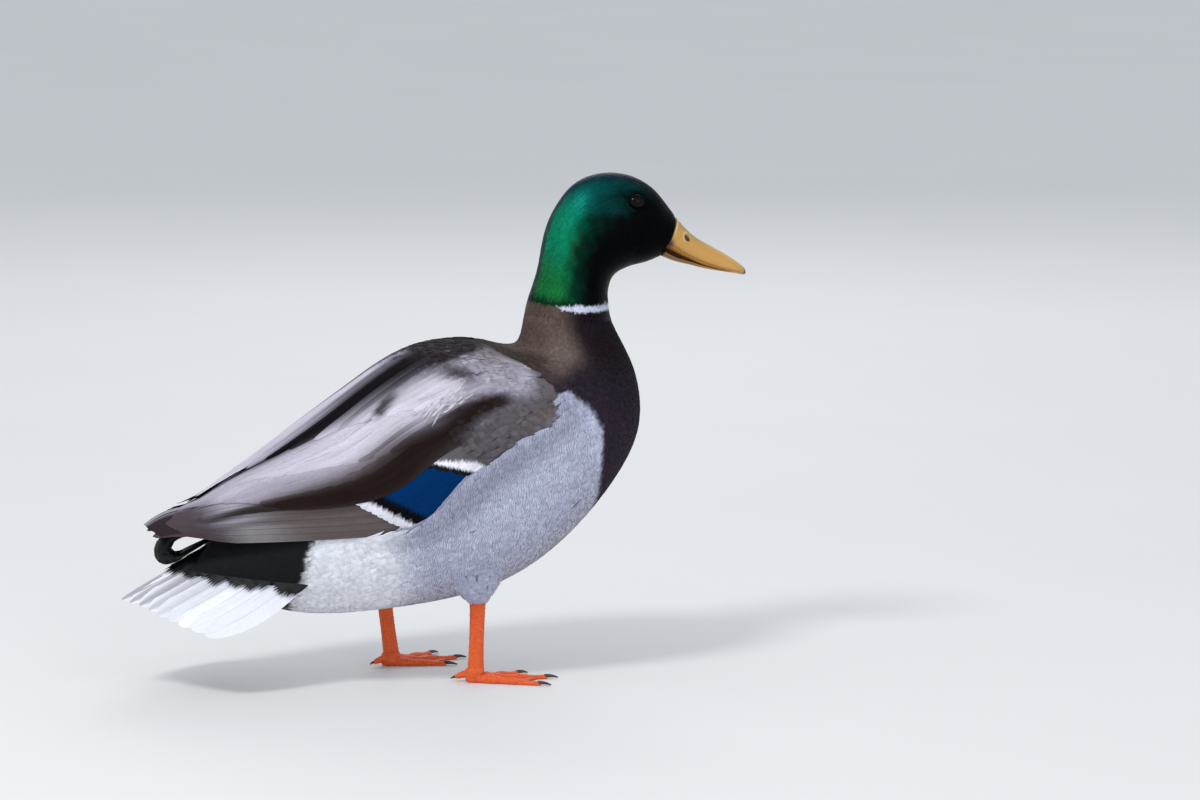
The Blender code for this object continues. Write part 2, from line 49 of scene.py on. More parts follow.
MIDDLE_X = 3.3  # the tables' x that the solids have at X = 0
# Where the random numbers of each part start.
SEED = 11
THIGH_SEED, SMALL_SEED, LONG_SEED = SEED + 40, SEED + 60, SEED + 90
TAIL_SEED, COVERT_SEED, CURL_SEED = SEED + 200, SEED + 210, SEED + 220
LEFT_SEED = {"left": 20, "right": 0}
SIDES = {"left": 1, "right": -1}

LAST_STATION = 25.0
# Stations of the body: back x, z; belly x, z; half width; share of the height, from
# the back, where it is widest; fullness of the upper and of the lower half.
BODY = (
    (151.0, 271.4, 140.8, 248.2, 10.5, 0.55, 0.00, 0.05),  # 0 base of the bill
    (143.4, 281.4, 133.9, 245.6, 14.2, 0.56, -0.02, 0.05),
    (135.8, 289.8, 127.8, 244.0, 17.0, 0.58, -0.04, 0.05),  # 2 forehead
    (124.2, 296.6, 122.8, 242.9, 19.2, 0.59, -0.06, 0.02),
    (110.4, 299.2, 118.4, 241.4, 20.3, 0.59, -0.05, 0.00),  # 4 crown
    (97.2, 297.3, 114.7, 239.6, 20.5, 0.58, -0.02, 0.00),
    (86.4, 291.2, 111.9, 237.3, 20.2, 0.56, 0.00, 0.00),
    (78.4, 281.6, 110.1, 234.5, 19.7, 0.54, 0.00, 0.00),
    (72.0, 269.5, 109.1, 231.4, 19.4, 0.52, 0.00, 0.00),  # 8 nape
    (68.2, 254.6, 108.5, 227.8, 19.6, 0.50, 0.00, 0.00),
    (65.2, 239.6, 108.5, 223.6, 20.6, 0.50, 0.00, 0.00),
    (59.9, 223.4, 109.1, 217.0, 23.0, 0.50, 0.00, 0.00),  # 11 white ring
    (57.2, 210.2, 111.4, 208.6, 26.2, 0.48, 0.00, 0.00),
    (54.0, 198.8, 117.2, 196.8, 32.5, 0.46, 0.00, 0.00),  # 13 foot of the neck
    (46.9, 196.2, 123.6, 182.2, 41.0, 0.46, 0.02, 0.00),
    (36.4, 197.0, 127.0, 165.6, 48.5, 0.48, 0.04, 0.00),  # 15 shoulders
    (23.8, 196.6, 126.6, 149.6, 54.0, 0.50, 0.06, 0.02),
    (10.0, 194.6, 121.8, 133.8, 58.0, 0.50, 0.08, 0.04),
    (-6.3, 189.8, 110.6, 115.0, 61.0, 0.50, 0.08, 0.06),
    (-24.0, 179.6, 92.0, 92.4, 62.0, 0.50, 0.08, 0.08),  # 19 middle of the trunk
    (-43.4, 164.2, 65.4, 69.2, 60.5, 0.50, 0.06, 0.10),
    (-64.7, 146.0, 29.6, 51.6, 56.5, 0.50, 0.04, 0.10),
    (-87.5, 125.4, -16.4, 43.2, 49.5, 0.50, 0.02, 0.08),  # 22 vent
    (-108.7, 106.8, -62.7, 40.4, 40.5, 0.50, 0.00, 0.04),
    (-128.5, 90.0, -96.0, 45.2, 30.5, 0.48, 0.00, 0.00),
    (-143.0, 77.4, -121.0, 56.5, 20.0, 0.45, 0.00, 0.00),  # 25 root of the tail
)
HALF_WIDTH = 4  # its place in a row
# Stations of the bill: culmen x, z; lower edge x, z; half width; as for the body.
UPPER_BILL = (
    (151.2, 271.0, 143.0, 253.0, 10.4, 0.62, 0.00, -0.25),
    (156.5, 264.8, 149.4, 249.2, 10.2, 0.66, 0.00, -0.25),
    (163.5, 258.8, 158.0, 245.4, 10.0, 0.70, 0.04, -0.20),
    (172.0, 253.8, 167.8, 241.9, 10.3, 0.74, 0.10, -0.15),
    (180.5, 249.0, 178.2, 239.3, 11.2, 0.78, 0.16, -0.10),
    (187.0, 244.8, 186.2, 238.0, 11.4, 0.80, 0.20, -0.10),
    (191.0, 241.6, 190.7, 237.0, 9.2, 0.76, 0.20, 0.00),
    (193.4, 238.8, 193.2, 235.8, 4.6, 0.60, 0.10, 0.00),
)
LOWER_BILL = (
    (142.6, 252.2, 141.0, 248.6, 8.6, 0.40, 0.20, 0.20),
    (149.6, 248.4, 148.6, 245.4, 8.5, 0.40, 0.20, 0.20),
    (158.4, 244.6, 157.6, 242.2, 8.4, 0.40, 0.20, 0.20),
    (168.0, 241.2, 167.6, 239.4, 8.6, 0.40, 0.20, 0.20),
    (178.6, 238.7, 178.4, 237.4, 9.0, 0.40, 0.20, 0.20),
    (186.4, 237.5, 186.4, 236.4, 7.6, 0.40, 0.20, 0.20),
    (190.0, 236.9, 190.0, 236.1, 4.0, 0.40, 0.20, 0.20),
)
# The folded wing over the body: station; angle of its lower edge, degrees round from
# the back; height of its surface over the body on the back and at that edge; thickness.
WING = (
    (15.0, 50, 2.8, 2.5, 1.0),
    (15.4, 70, 3.8, 2.7, 1.7),
    (16.0, 84, 5.2, 2.9, 2.6),
    (17.0, 93, 7.0, 3.2, 4.0),
    (18.0, 90, 9.0, 3.5, 5.2),
    (19.0, 86, 10.6, 3.8, 5.8),
    (20.0, 84, 12.4, 4.2, 6.0),
    (21.0, 88, 15.2, 4.6, 5.6),
    (22.0, 76, 18.8, 5.2, 5.0),
    (23.0, 60, 23.0, 8.4, 4.4),
    (24.0, 44, 26.4, 14.0, 3.6),
)
WING_START, WING_END = 15.0, 24.0
LAST_OVER_WING = 22.6  # where the body's feathers stop covering the wing's edge
BACK_LINE = 0.25  # half the gap between the wings along the back, mm
WING_TIP = ((-175.6, 1.2, 96.0), (-174.6, 7.0, 94.6), (-169.0, 13.5, 92.2))

EYE_PLACE = (123.0, 12.6, 282.4)
EYE_RADIUS = 5.6
EYE_STRETCH = (1.0, 0.75, 0.84)
EYE_DIP = 1.9  # how far the coat sinks round the eye
LID_OPENING = (4.3, 3.7)  # half sizes, lengthways and up

LEGS = {
    "right": {"x": 20.0, "y": -31.0, "lean": 2.0, "turn": -3.0},
    "left": {"x": -18.0, "y": 31.0, "lean": -7.0, "turn": 14.0},
}
SHANK_TOP = 49.0
SHANK_LENGTHWAYS = 4.4
SHANK_ACROSS = 3.2
INTO_FOOT = 4.0  # how far the shank runs into the foot
THIGH = ((0.3, 5.4, 4.6, 0.0), (3.0, 8.0, 6.6, 0.5), (8.0, 12.5, 9.6, 1.5),
         (16.0, 18.5, 12.5, 3.5), (26.0, 23.0, 13.0, 5.0))
FOOT_HEIGHT = 8.5
HEEL_BACK = 4.0
TOES = (("inner", -27.0, 37.0), ("middle", -1.5, 47.5), ("outer", 25.0, 44.0))
HALLUX_LENGTH = 10.0
CLAW_LENGTH = 6.5

TAIL_MIDDLE = ((-116.0, 0.0, 92.0), (-187.6, 0.0, 53.4))
TAIL_OUTER = ((-80.0, 35.0, 66.0), (-142.0, 48.0, 36.8))
TAIL_CURVE = 1.4
TAIL_BELLY = 4.0
TAIL_FEATHERS = 18

CURL_OUTER = (
    (-134.0, 84.8), (-145.0, 79.8), (-153.0, 75.7), (-160.0, 73.3), (-165.2, 75.7),
    (-166.8, 81.0), (-165.0, 87.0), (-159.8, 91.6), (-152.5, 93.2), (-145.5, 92.0),
)
CURL_INNER = (
    (-134.0, 88.8), (-144.0, 84.0), (-149.6, 81.0), (-154.2, 79.4), (-157.2, 80.8),
    (-158.0, 84.0), (-156.4, 87.0), (-153.2, 89.0), (-149.2, 90.0), (-145.5, 90.4),
)
CURL_HALF_WIDTH = (5.0, 6.5, 7.2, 7.4, 7.2, 6.8, 6.2, 5.4, 4.4, 3.0)
CURL_FEATHERS = 64

# The coat's depth over the skin, mm.
HEAD_DEPTH, BODY_DEPTH, WING_DEPTH = 0.9, 2.0, 2.7


# ---------------------------------------------------------------- surfaces


def smooth(x, low, high):
    """Rises softly from 0 at low to 1 at high."""
    t = np.clip((np.asarray(x, float) - low) / (high - low), 0, 1)
    return t * t * (3 - 2 * t)


def fade(x, low, high):
    """Falls softly from 1 at low to 0 at high."""
    return 1 - smooth(x, low, high)


def unit(v):
    return v / np.maximum(np.linalg.norm(v, axis=-1, keepdims=True), 1e-9)


def natural_spline(knots, values):
    """The natural cubic spline through values at the knots, as a function."""
    knots = np.asarray(knots, float)
    values = np.asarray(values, float)
    step = np.diff(knots)
    slope = np.diff(values, axis=0) / step[:, None]
    count = len(knots)
    system = np.eye(count)
    right = np.zeros_like(values)
    for i in range(1, count - 1):
        system[i, i - 1 : i + 2] = step[i - 1], 2 * (step[i - 1] + step[i]), step[i]
        right[i] = 6 * (slope[i] - slope[i - 1])
    second = np.linalg.solve(system, right)

    def at(t):
        t = np.asarray(t, float)
        i = np.clip(np.searchsorted(knots, t, side="right") - 1, 0, count - 2)
        h = step[i][..., None]
        a = ((knots[i + 1] - t) / step[i])[..., None]
        b = 1 - a
        bend = (a**3 - a) * second[i] + (b**3 - b) * second[i + 1]
        return a * values[i] + b * values[i + 1] + bend * h * h / 6

    return at


def by_row(table):
    """The spline through the rows of a table, by their number."""
    return natural_spline(np.arange(len(table)), table)


def net(first, second):
    """Every pair of two rows of numbers, as two grids."""
    return np.meshgrid(first, second, indexing="ij")


def circle(count, start=0.0):
    """Angles evenly spaced once round."""
    return np.linspace(start, start + math.tau, count + 1)[:-1]


def loft_point(columns, s, angle):
    """A point of a loft through stations, for a station and an angle from the back."""
    x0, z0, x1, z1, half, widest, upper, lower = np.moveaxis(columns(s), -1, 0)
    c = np.cos(angle)
    share = np.where(c > 0, widest * (1 - c), widest - (1 - widest) * c)
    full = np.where(c > 0, upper, lower)
    y = half * np.sin(angle) * (1 + full * c * c)
    return np.stack([x0 + share * (x1 - x0), y, z0 + share * (z1 - z0)], -1)


class Bed:
    """A surface given by a function of two coordinates."""

    step = 1e-3  # of either coordinate, for the slopes

    def __init__(self, spot):
        self.spot = spot

    def frame(self, s, t):
        """Point, its change along s and along t, and the outward normal."""
        e = self.step
        point = self.spot(s, t)
        along = (self.spot(s + e, t) - self.spot(s - e, t)) / (2 * e)
        around = (self.spot(s, t + e) - self.spot(s, t - e)) / (2 * e)
        return point, along, around, unit(np.cross(around, along))

    def place(self, s, t, height):
        point, _, _, normal = self.frame(s, t)
        return point + normal * np.asarray(height)[..., None]


def solve(along, around, way):
    """The change of both coordinates that moves a point by the vector way."""
    aa, ab, bb = (along * along).sum(-1), (along * around).sum(-1), (around * around).sum(-1)
    wa, wb = (along * way).sum(-1), (around * way).sum(-1)
    det = np.maximum(aa * bb - ab * ab, 1e-9)
    return (wa * bb - wb * ab) / det, (wb * aa - wa * ab) / det


body_columns = by_row(BODY)
wing_row = natural_spline([row[0] for row in WING], [row[1:] for row in WING])
wing_end = natural_spline((0, 0.5, 1), WING_TIP)


bare_body_bed = Bed(lambda s, angle: loft_point(body_columns, s, angle))


def eye_distance(point):
    """How far a point is from the nearer eye, seen from the side."""
    return np.hypot(point[..., 0] - EYE_PLACE[0], point[..., 2] - EYE_PLACE[2])


def below_wing(s, angle):
    """Millimetres round the body from the folded wing's lower edge, down from it."""
    edge = wing_row(np.clip(s, WING_START, WING_END))[..., 0]
    return (np.abs(angle) - np.radians(edge)) * body_columns(s)[..., HALF_WIDTH]


def body_spot(s, angle):
    """The outside of the plumage on the body: it rises to cover the wing's lower edge
    and sinks round the eyes."""
    point = loft_point(body_columns, s, angle)
    row = wing_row(np.clip(s, WING_START, LAST_OVER_WING))
    edge, on_back, at_edge, _ = np.moveaxis(row, -1, 0)
    edge = np.radians(edge)
    below = (np.abs(angle) - edge) * body_columns(s)[..., HALF_WIDTH]  # mm round from the wing
    over = smooth(s, 15.1, 15.7) * fade(s, 21.0, 22.2)
    bulge = over * (at_edge + 1.1) * fade(below, 0.0, 15.0) * (below > -12)
    front = smooth(s, 14.2, 15.2) * fade(s, 15.9, 16.6) * fade(below, -2.0, 5.0)
    on_wing = on_back + (at_edge - on_back) * np.clip(np.abs(angle) / edge, 0, 1) ** 2
    bulge = np.maximum(bulge, front * on_wing)
    from_eye = eye_distance(point)
    dip = EYE_DIP * np.exp(-((from_eye / EYE_RADIUS) ** 4)) * (s < 6)
    out = np.stack([0 * s, np.sin(angle), np.cos(angle) * 0.5], -1)
    return point + unit(out) * (bulge - dip)[..., None]


def wing_spot(s, share):
    """The outside of the folded left wing, carried on past its last station to its tip."""
    on = np.clip(s, WING_START, WING_END)
    low, top_height, low_height, _ = np.moveaxis(wing_row(on), -1, 0)
    first = BACK_LINE / body_columns(on)[..., HALF_WIDTH]
    angle = first + share * (np.radians(low) - first)
    height = top_height + (low_height - top_height) * share**2
    point = bare_body_bed.place(on, angle, height)
    past = (s - WING_END)[..., None]
    share_on_tip = np.clip(share, -0.1, 1.2)
    reach = np.maximum(past, 0)
    bulge = 3.0 * np.sin(math.pi * np.clip(reach, 0, 1)) * np.array([-0.2, 0.0, 1.0])
    on_tip = point * (1 - reach) + wing_end(share_on_tip) * reach + bulge
    before = np.minimum(s - WING_START, 0)[..., None] * np.array([-12.0, 0.0, -1.0])
    return np.where(past > 0, on_tip, point) + before


def tail_spot(along, share):
    """The middle of the tail fan: along 0 at the root to 1 at the tips, share -1 to 1."""
    part = np.abs(share)
    curved = (part + 1e-9) ** TAIL_CURVE
    mix = np.stack([curved, part, curved], -1)
    middle, outer = np.array(TAIL_MIDDLE), np.array(TAIL_OUTER)
    root = middle[0] * (1 - mix) + outer[0] * mix
    tip = middle[1] * (1 - mix) + outer[1] * mix
    bend = (TAIL_BELLY * np.sin(math.pi * np.clip(along, 0, 1)) * part)[..., None]
    place = root + (tip - root) * along[..., None] + bend * np.array([0, 0.6, -0.8])
    place[..., 1] *= np.where(share < 0, -1, 1)
    return place


body_bed, wing_bed, tail_bed = Bed(body_spot), Bed(wing_spot), Bed(tail_spot)


# ---------------------------------------------------------------- markings

BLACK = (0.0016, 0.0019, 0.0026)
TEAL = (0.001, 0.075, 0.072)
GREEN = (0.004, 0.215, 0.105)
LEAF = (0.010, 0.155, 0.036)
DEEP = (0.001, 0.030, 0.016)
MOSS = (0.016, 0.026, 0.008)
NAVY = (0.0015, 0.010, 0.030)
WHITE = (0.80, 0.81, 0.88)
COLLAR = (0.64, 0.66, 0.80)
DUSKY = (0.0125, 0.0080, 0.0115)
TAN = (0.105, 0.072, 0.062)
PALE_TAN = (0.21, 0.16, 0.14)
BREAST = (0.021, 0.0145, 0.023)
OLIVE = (0.050, 0.037, 0.029)
FLANK = (0.50, 0.52, 0.67)
# Painted shade below, a painted pool of light and painted shadow beside the wing, over the flank's
# grey.
FLANK_SHADE_BELOW = (0.42, 0.41, 0.43)
FLANK_LIT = (0.62, 0.64, 0.81)
FLANK_SHADE = (0.36, 0.37, 0.49)
STERN = (0.0035, 0.0045, 0.0050)
LAVENDER = (0.35, 0.325, 0.39)
PALE = (0.56, 0.525, 0.60)
MANTLE = (0.026, 0.019, 0.023)
DARK_BROWN = (0.005, 0.0035, 0.005)
MAROON = (0.016, 0.009, 0.008)
UMBER = (0.090, 0.066, 0.062)
TAUPE = (0.108, 0.096, 0.108)
SHOULDER = (0.22, 0.19, 0.205)
QUILL_GREY = (0.26, 0.255, 0.265)
COVERT_BROWN = (0.12, 0.095, 0.09)
WING_EDGE = (0.30, 0.305, 0.38)
TIP_BROWN = (0.050, 0.034, 0.042)


def paint(colour, *layers):
    """Lays colours over the first one in turn, each by its share."""
    colour = np.asarray(colour)
    for share, other in layers:
        share = np.asarray(share)[..., None]
        colour = colour * (1 - share) + np.asarray(other) * share
    return colour


def spot_of(s, t, place, size):
    """1 in the middle of an oval patch, falling softly to 0 outside it."""
    away = ((s - place[0]) / size[0]) ** 2 + ((t - place[1]) / size[1]) ** 2
    return np.exp(-(away**1.5))


def band_of(s, t, knots, middles, halves):
    """1 along a band over t about middles, whose half width is given, soft at its edges."""
    away = (t - np.interp(s, knots, middles)) / np.interp(s, knots, halves)
    return np.exp(-(away**4))


def head_marking(s, q):
    """The glossy head: a black face, with the iridescent sheen painted on where it catches the light:
    teal cheeks and crown, greener down the neck.
    """
    q = q + 3.5 * np.sin(4.3 * s + 0.11 * q) * np.sin(2.1 * s - 0.17 * q)
    # dusk and lit are painted sheen: a dim green, and a bright band of the head's iridescence over the
    # back of the head and down the neck.
    dusk = smooth(s, 3.6, 6.8) * fade(q, 42 + 3.2 * s, 76 + 3.6 * s)
    lit = smooth(s, 3.2, 6.0) * fade(q, 28 + 2.6 * s, 50 + 3.6 * s)
    hue = paint(TEAL, (smooth(s, 5.0, 8.5), GREEN), (smooth(s, 8.3, 10.3), LEAF))
    crown = fade(q, 8, 30) * smooth(s, 1.6, 3.2) * fade(s, 5.2, 7.2)
    return paint(
        BLACK,
        (0.95 * dusk, DEEP),
        (0.7 * spot_of(s, q, (8.1, 66.0), (0.9, 9.0)), MOSS),
        (lit, hue),
        (0.30 * spot_of(s, q, (4.5, 62.0), (1.2, 11.0)), TEAL),  # cheek
        (0.50 * spot_of(s, q, (3.9, 33.0), (1.4, 13.0)), TEAL),  # over the eye
        (0.75 * crown, NAVY),
        # Navy along the nape, where the outline is seen edge-on: the sheen's hue at a grazing view,
        # painted.
        (0.85 * fade(q, 5, 20) * smooth(s, 4.5, 6.5), NAVY),  # nape
        (0.8 * smooth(s, 10.45, 10.85), BLACK),
    )


def ring_edges(q):
    """Upper and lower edge of the white ring, open behind and higher at the throat."""
    angles = (58, 75, 90, 120, 150, 180)
    upper = np.interp(q, angles, (10.97, 10.86, 10.78, 10.62, 10.28, 10.20))
    lower = np.interp(q, angles, (10.97, 11.07, 11.12, 11.02, 10.80, 10.72))
    return upper, lower


def brown_end(q):
    """The station where the brown breast gives way to the grey flank."""
    return np.interp(q, (76, 84, 103, 118, 127, 138, 155, 180),
                     (17.0, 15.8, 16.2, 16.8, 17.5, 18.1, 18.6, 19.0))


def neck_marking(s, q):
    """The brown neck and breast."""
    neck = paint(
        TAN,
        (smooth(q, 58, 98), DUSKY),
        (0.55 * spot_of(s, q, (13.6, 74.0), (1.5, 20.0)), PALE_TAN),
        (smooth(s, 13.2, 14.4) * fade(q, 45, 80), OLIVE),
    )
    return paint(
        neck,
        (smooth(s, 13.0, 15.0) * smooth(q, 70, 90), BREAST),
        (smooth(s, 14.6, 16.6), np.array(BREAST) * 1.45),
    )


def flank_marking(s, q):
    """The grey flank, with painted light in the middle, painted shadow beside the wing and painted
    shade below.
    """
    return paint(
        FLANK,
        (0.5 * smooth(q, 120, 165), FLANK_SHADE_BELOW),
        (0.7 * spot_of(s, q, (19.0, 113.0), (2.2, 16.0)), FLANK_LIT),
        (0.75 * fade(q, 88, 106), FLANK_SHADE),
    )


def body_marking(s, angle):
    """Colour of the body, and how strongly it is finely barred."""
    q = np.degrees(np.abs(angle))
    white_start = np.interp(q, (60, 80, 100, 130, 180), (20.9, 21.25, 21.5, 21.8, 22.3))
    black_start = np.interp(q, (0, 55, 75, 85, 95, 110, 130, 180),
                            (21.2, 21.9, 22.6, 22.8, 22.95, 23.3, 23.5, 23.7))
    end = brown_end(q)
    grey = smooth(s, end - 0.12, end + 0.14)
    white = smooth(s, white_start - 0.35, white_start + 0.35)
    black = smooth(s, black_start - 0.06, black_start + 0.08)
    upper, lower = ring_edges(q)
    on_head = fade(s, lower - 0.06, lower + 0.04)
    ring = smooth(s, upper - 0.03, upper + 0.03) * fade(s, lower - 0.03, lower + 0.03)
    colour = paint(
        neck_marking(s, q),
        (grey, flank_marking(s, q)),
        (white, WHITE),
        (black, STERN),
        (on_head, head_marking(s, q)),
        (ring * (q > 58), COLLAR),
    )
    return colour, grey * (1 - 0.85 * white) * (1 - black)


def wing_marking(s, v):
    """Colour of the folded wing and the shoulder feathers over it."""
    pale = band_of(s, v, (17.4, 18.6, 20.0, 22.0, 24.0), (0.40, 0.45, 0.43, 0.34, 0.28),
                   (0.10, 0.15, 0.13, 0.12, 0.11)) * smooth(s, 17.6, 18.5)
    dusk = band_of(s, v, (16.9, 17.6, 18.6, 19.3, 20.0, 21.0, 22.0, 23.0),
                   (0.76, 0.71, 0.68, 0.71, 0.69, 0.68, 0.66, 0.62),
                   (0.04, 0.06, 0.09, 0.11, 0.13, 0.12, 0.10, 0.07))
    shade = smooth(v, 0.44, 0.62) * smooth(s, 19.0, 20.6) * fade(s, 22.4, 23.8)
    inner = band_of(s, v, (17.0, 18.2, 19.0, 20.0, 21.0, 22.2, 23.0),
                    (0.16, 0.18, 0.19, 0.185, 0.185, 0.17, 0.14),
                    (0.18, 0.17, 0.145, 0.12, 0.085, 0.05, 0.03))
    sliver = band_of(s, v, (19.0, 19.4, 20.0), (0.33, 0.355, 0.39), (0.035, 0.03, 0.015))
    near = v - 0.016 * (s - 19)  # share of the depth from the edge along the back
    # front: dark olive where the wing meets the neck, partly the plumage's own brown and partly
    # painted shade in the groove there.
    front = fade(s, 15.3, 16.2) * fade(v, 0.60, 0.85)
    edge = smooth(v, 0.91, 1.02) * smooth(s, 15.4, 15.9) * fade(s, 17.4, 18.2)
    return paint(
        LAVENDER,
        (smooth(v, 0.72, 0.80), TAUPE),
        (smooth(s, 21.0, 21.6) * smooth(v, 0.76, 0.84), QUILL_GREY),
        (pale * (1 - 0.6 * smooth(s, 20.6, 22.6)), PALE),
        (spot_of(s, v, (16.0, 0.42), (1.0, 0.20)), SHOULDER),
        (0.8 * spot_of(s, v, (16.7, 0.66), (0.7, 0.13)), LAVENDER),
        (smooth(v, 0.80, 0.92) * fade(s, 17.2, 18.4), COVERT_BROWN),
        (0.9 * shade, UMBER),
        (dusk * smooth(s, 16.9, 17.8), MAROON),
        (inner * smooth(s, 17.0, 17.8), DARK_BROWN),
        (0.9 * sliver * smooth(s, 18.9, 19.3) * fade(s, 19.9, 20.1), DARK_BROWN),
        (fade(v, 0.29, 0.36) * fade(s, 17.8, 18.6), MANTLE),
        (0.9 * spot_of(s, v, (17.85, 0.44), (0.40, 0.09)), MANTLE),
        (fade(near, 0.015, 0.045) * smooth(s, 18.6, 19.4), PALE),
        (smooth(s, 23.2, 24.2) * smooth(v, 0.12, 0.35), TIP_BROWN),
        (0.9 * front, OLIVE),
        (0.6 * edge, WING_EDGE),
    )


# ---------------------------------------------------------------- vanes


class Vane:
    """The mesh of one feather. Each point has a share of the length, from root to tip,
    and a share of the half width, and the underside meets the top at the edges."""

    def __init__(self, rows, columns, fringe, last=0.80):
        if isinstance(rows, int):
            rows = [last * ((i + 1) / rows) ** 0.9 for i in range(rows)]
        self.last, self.columns, self.end = last, columns, len(rows) - 1
        self.across = np.linspace(-1, 1, columns)
        self.points = [(0.0, 0.0, 0.0)]
        for u in rows:
            self.points += [(u, c, 0.0) for c in self.across]
        at, far = self.at, columns - 1
        self.top = [(0, at(0, j), at(0, j + 1)) for j in range(far)]
        for i in range(self.end):
            for j in range(far):
                self.top.append((at(i, j), at(i + 1, j), at(i + 1, j + 1), at(i, j + 1)))
        self.under = [(0, at(0, far), at(0, 0))]
        for i in range(self.end - 1 if fringe else self.end):
            self.under.append((at(i, 0), at(i, far), at(i + 1, far), at(i + 1, 0)))
        if fringe:
            self.end_in_fringe()
        else:
            self.end_in_point()
        self.u, self.c, self.keel = np.array(self.points).T
        self.faces = self.top + self.under
        self.upper = np.array([True] * len(self.top) + [False] * len(self.under))

    def at(self, row, column):
        """The number of a point."""
        return 1 + row * self.columns + column

    def end_in_point(self):
        at, end, far = self.at, self.end, self.columns - 1
        tip = len(self.points)
        self.points.append((1.0, 0.0, 0.0))
        for j in range(far):
            self.top.append((at(end, j), tip, at(end, j + 1)))
        self.under.append((at(end, 0), at(end, far), tip))

    def end_in_fringe(self):
        """A tip past each column, of two lengths in turn, over a keel that closes them."""
        at, end, far = self.at, self.end, self.columns - 1
        keel = len(self.points)
        self.points.append((self.last * 0.74, 0.0, -1.0))
        self.under.append((at(end - 1, 0), at(end - 1, far), keel))
        self.under.append((at(end - 1, 0), keel, at(end, 0)))
        self.under.append((at(end - 1, far), at(end, far), keel))
        for j in range(far):
            tip = len(self.points)
            middle = (self.across[j] + self.across[j + 1]) / 2
            longer = 1.0 if j % 2 else 0.965
            self.points.append((longer - 0.10 * middle**2, middle * 1.35, 0.0))
            self.top.append((at(end, j), tip, at(end, j + 1)))
            self.under.append((keel, tip, at(end, j)))
            self.under.append((keel, at(end, j + 1), tip))


def outline(u, blunt):
    """Half width of a feather along its length: blunt 2 is pointed, 8 nearly square."""
    return 1.10 * u**0.42 * np.sqrt(np.clip(1 - u**blunt, 0, 1))


def quill_outline(u, blunt):
    """The same for a long feather, which is wide from its root."""
    return u**0.16 * np.sqrt(np.clip(1 - u**blunt, 0, 1))


BARB_SLOPE = 0.9  # how far a barb runs forward for each mm outwards


def in_rows(shape, *columns):
    """Numbers for each point of a batch, stacked into one row for a point."""
    full = [np.broadcast_to(column, shape) for column in columns]
    return np.stack(full, -1).reshape(-1, len(columns))


class Coat:
    """Feathers of one piece, gathered batch by batch and joined into one mesh."""

    def __init__(self):
        self.batches = []
        self.count = 0

    def add(self, vane, roots, points, normals, colour, patches, bars=0.0, side=1):
        """Arrays that hold a row for each feather; a mirrored side is turned over. The
        shaders read vane: share of length, share of width, mm along the barbs; and extra:
        a number of its own for each feather, strength of the bars, half width in mm."""
        number, each = points.shape[:2]
        mirror = np.array([1, side, 1])
        faces = [face[::-1] if side < 0 else face for face in vane.faces]
        sizes = [len(face) for face in faces]
        flat = np.concatenate([np.array(face) for face in faces])
        upper = np.repeat(vane.upper, sizes)
        outward = np.where(upper, 1.0, -1.0)[None, :, None]
        first = self.count + np.arange(number) * each
        own, half, long = (roots[key][:, None] for key in ("own", "half", "long"))
        barb = vane.u * long - BARB_SLOPE * np.abs(vane.c * half)
        self.batches.append({
            "points": (points * mirror).reshape(-1, 3),
            "normals": ((normals * mirror)[:, flat] * outward).reshape(-1, 3),
            "upper": np.tile(upper, number),
            "loops": (first[:, None] + flat[None]).ravel(),
            "sizes": np.tile(sizes, number),
            "colour": np.broadcast_to(colour, points.shape).reshape(-1, 3),
            "vane": in_rows((number, each), vane.u, vane.c, barb),
            "extra": in_rows((number, each), own, bars, half),
            "patches": patches.reshape(-1, 2),
        })
        self.count += number * each

    def joined(self, key):
        return np.concatenate([batch[key] for batch in self.batches])

    def build(self, name, finish, slot, replaced=()):
        loops = self.joined("loops")
        made = piece(name, self.joined("points"), loops, self.joined("sizes"),
                     self.joined("colour"), finish, replaced)
        mesh = made.data
        for key in ("vane", "extra"):
            layer = mesh.attributes.new(key, "FLOAT_VECTOR", "POINT")
            store(layer.data, "vector", self.joined(key))
        layer = mesh.attributes.new("custom_normal", "FLOAT_VECTOR", "CORNER")
        store(layer.data, "vector", self.joined("normals"))
        mark_rims(mesh, self.joined("upper"))
        store(mesh.uv_layers.new(name="OFBake").data, "uv", self.joined("patches")[loops])


def store(data, key, values):
    data.foreach_set(key, values.astype(np.float32).ravel())


def mark_rims(mesh, upper):
    """Makes sharp each edge where a feather's upper side meets its underside."""
    edge = np.zeros(len(mesh.loops), np.int32)
    mesh.loops.foreach_get("edge_index", edge)
    rim = np.zeros((2, len(mesh.edges)), bool)
    rim[0, edge[upper]] = rim[1, edge[~upper]] = True
    layer = mesh.attributes.new("sharp_edge", "BOOLEAN", "EDGE")
    layer.data.foreach_set("value", rim.all(0))


def in_scene(name, data):
    made = bpy.data.objects.new(name, data)
    bpy.context.scene.collection.objects.link(made)
    return made


def piece(name, points, loops, sizes, colour, finish, replaced=()):
    """An object of the model from points in the tables' millimetres."""
    mesh = bpy.data.meshes.new(name)
    mesh.vertices.add(len(points))
    store(mesh.vertices, "co", (points - (MIDDLE_X, 0, 0)) * MM)
    mesh.loops.add(len(loops))
    mesh.loops.foreach_set("vertex_index", loops.astype(np.int32))
    mesh.polygons.add(len(sizes))
    starts = np.concatenate([[0], np.cumsum(sizes)[:-1]])
    mesh.polygons.foreach_set("loop_start", starts.astype(np.int32))
    mesh.update(calc_edges=True)
    layer = mesh.color_attributes.new("Col", "FLOAT_COLOR", "POINT")
    store(layer.data, "color", np.c_[colour, np.ones(len(colour))])
    obj = in_scene(name, mesh)
    mesh.materials.append(finish)
    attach(obj, "root")
    if replaced:
        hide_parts(*replaced)
    return obj


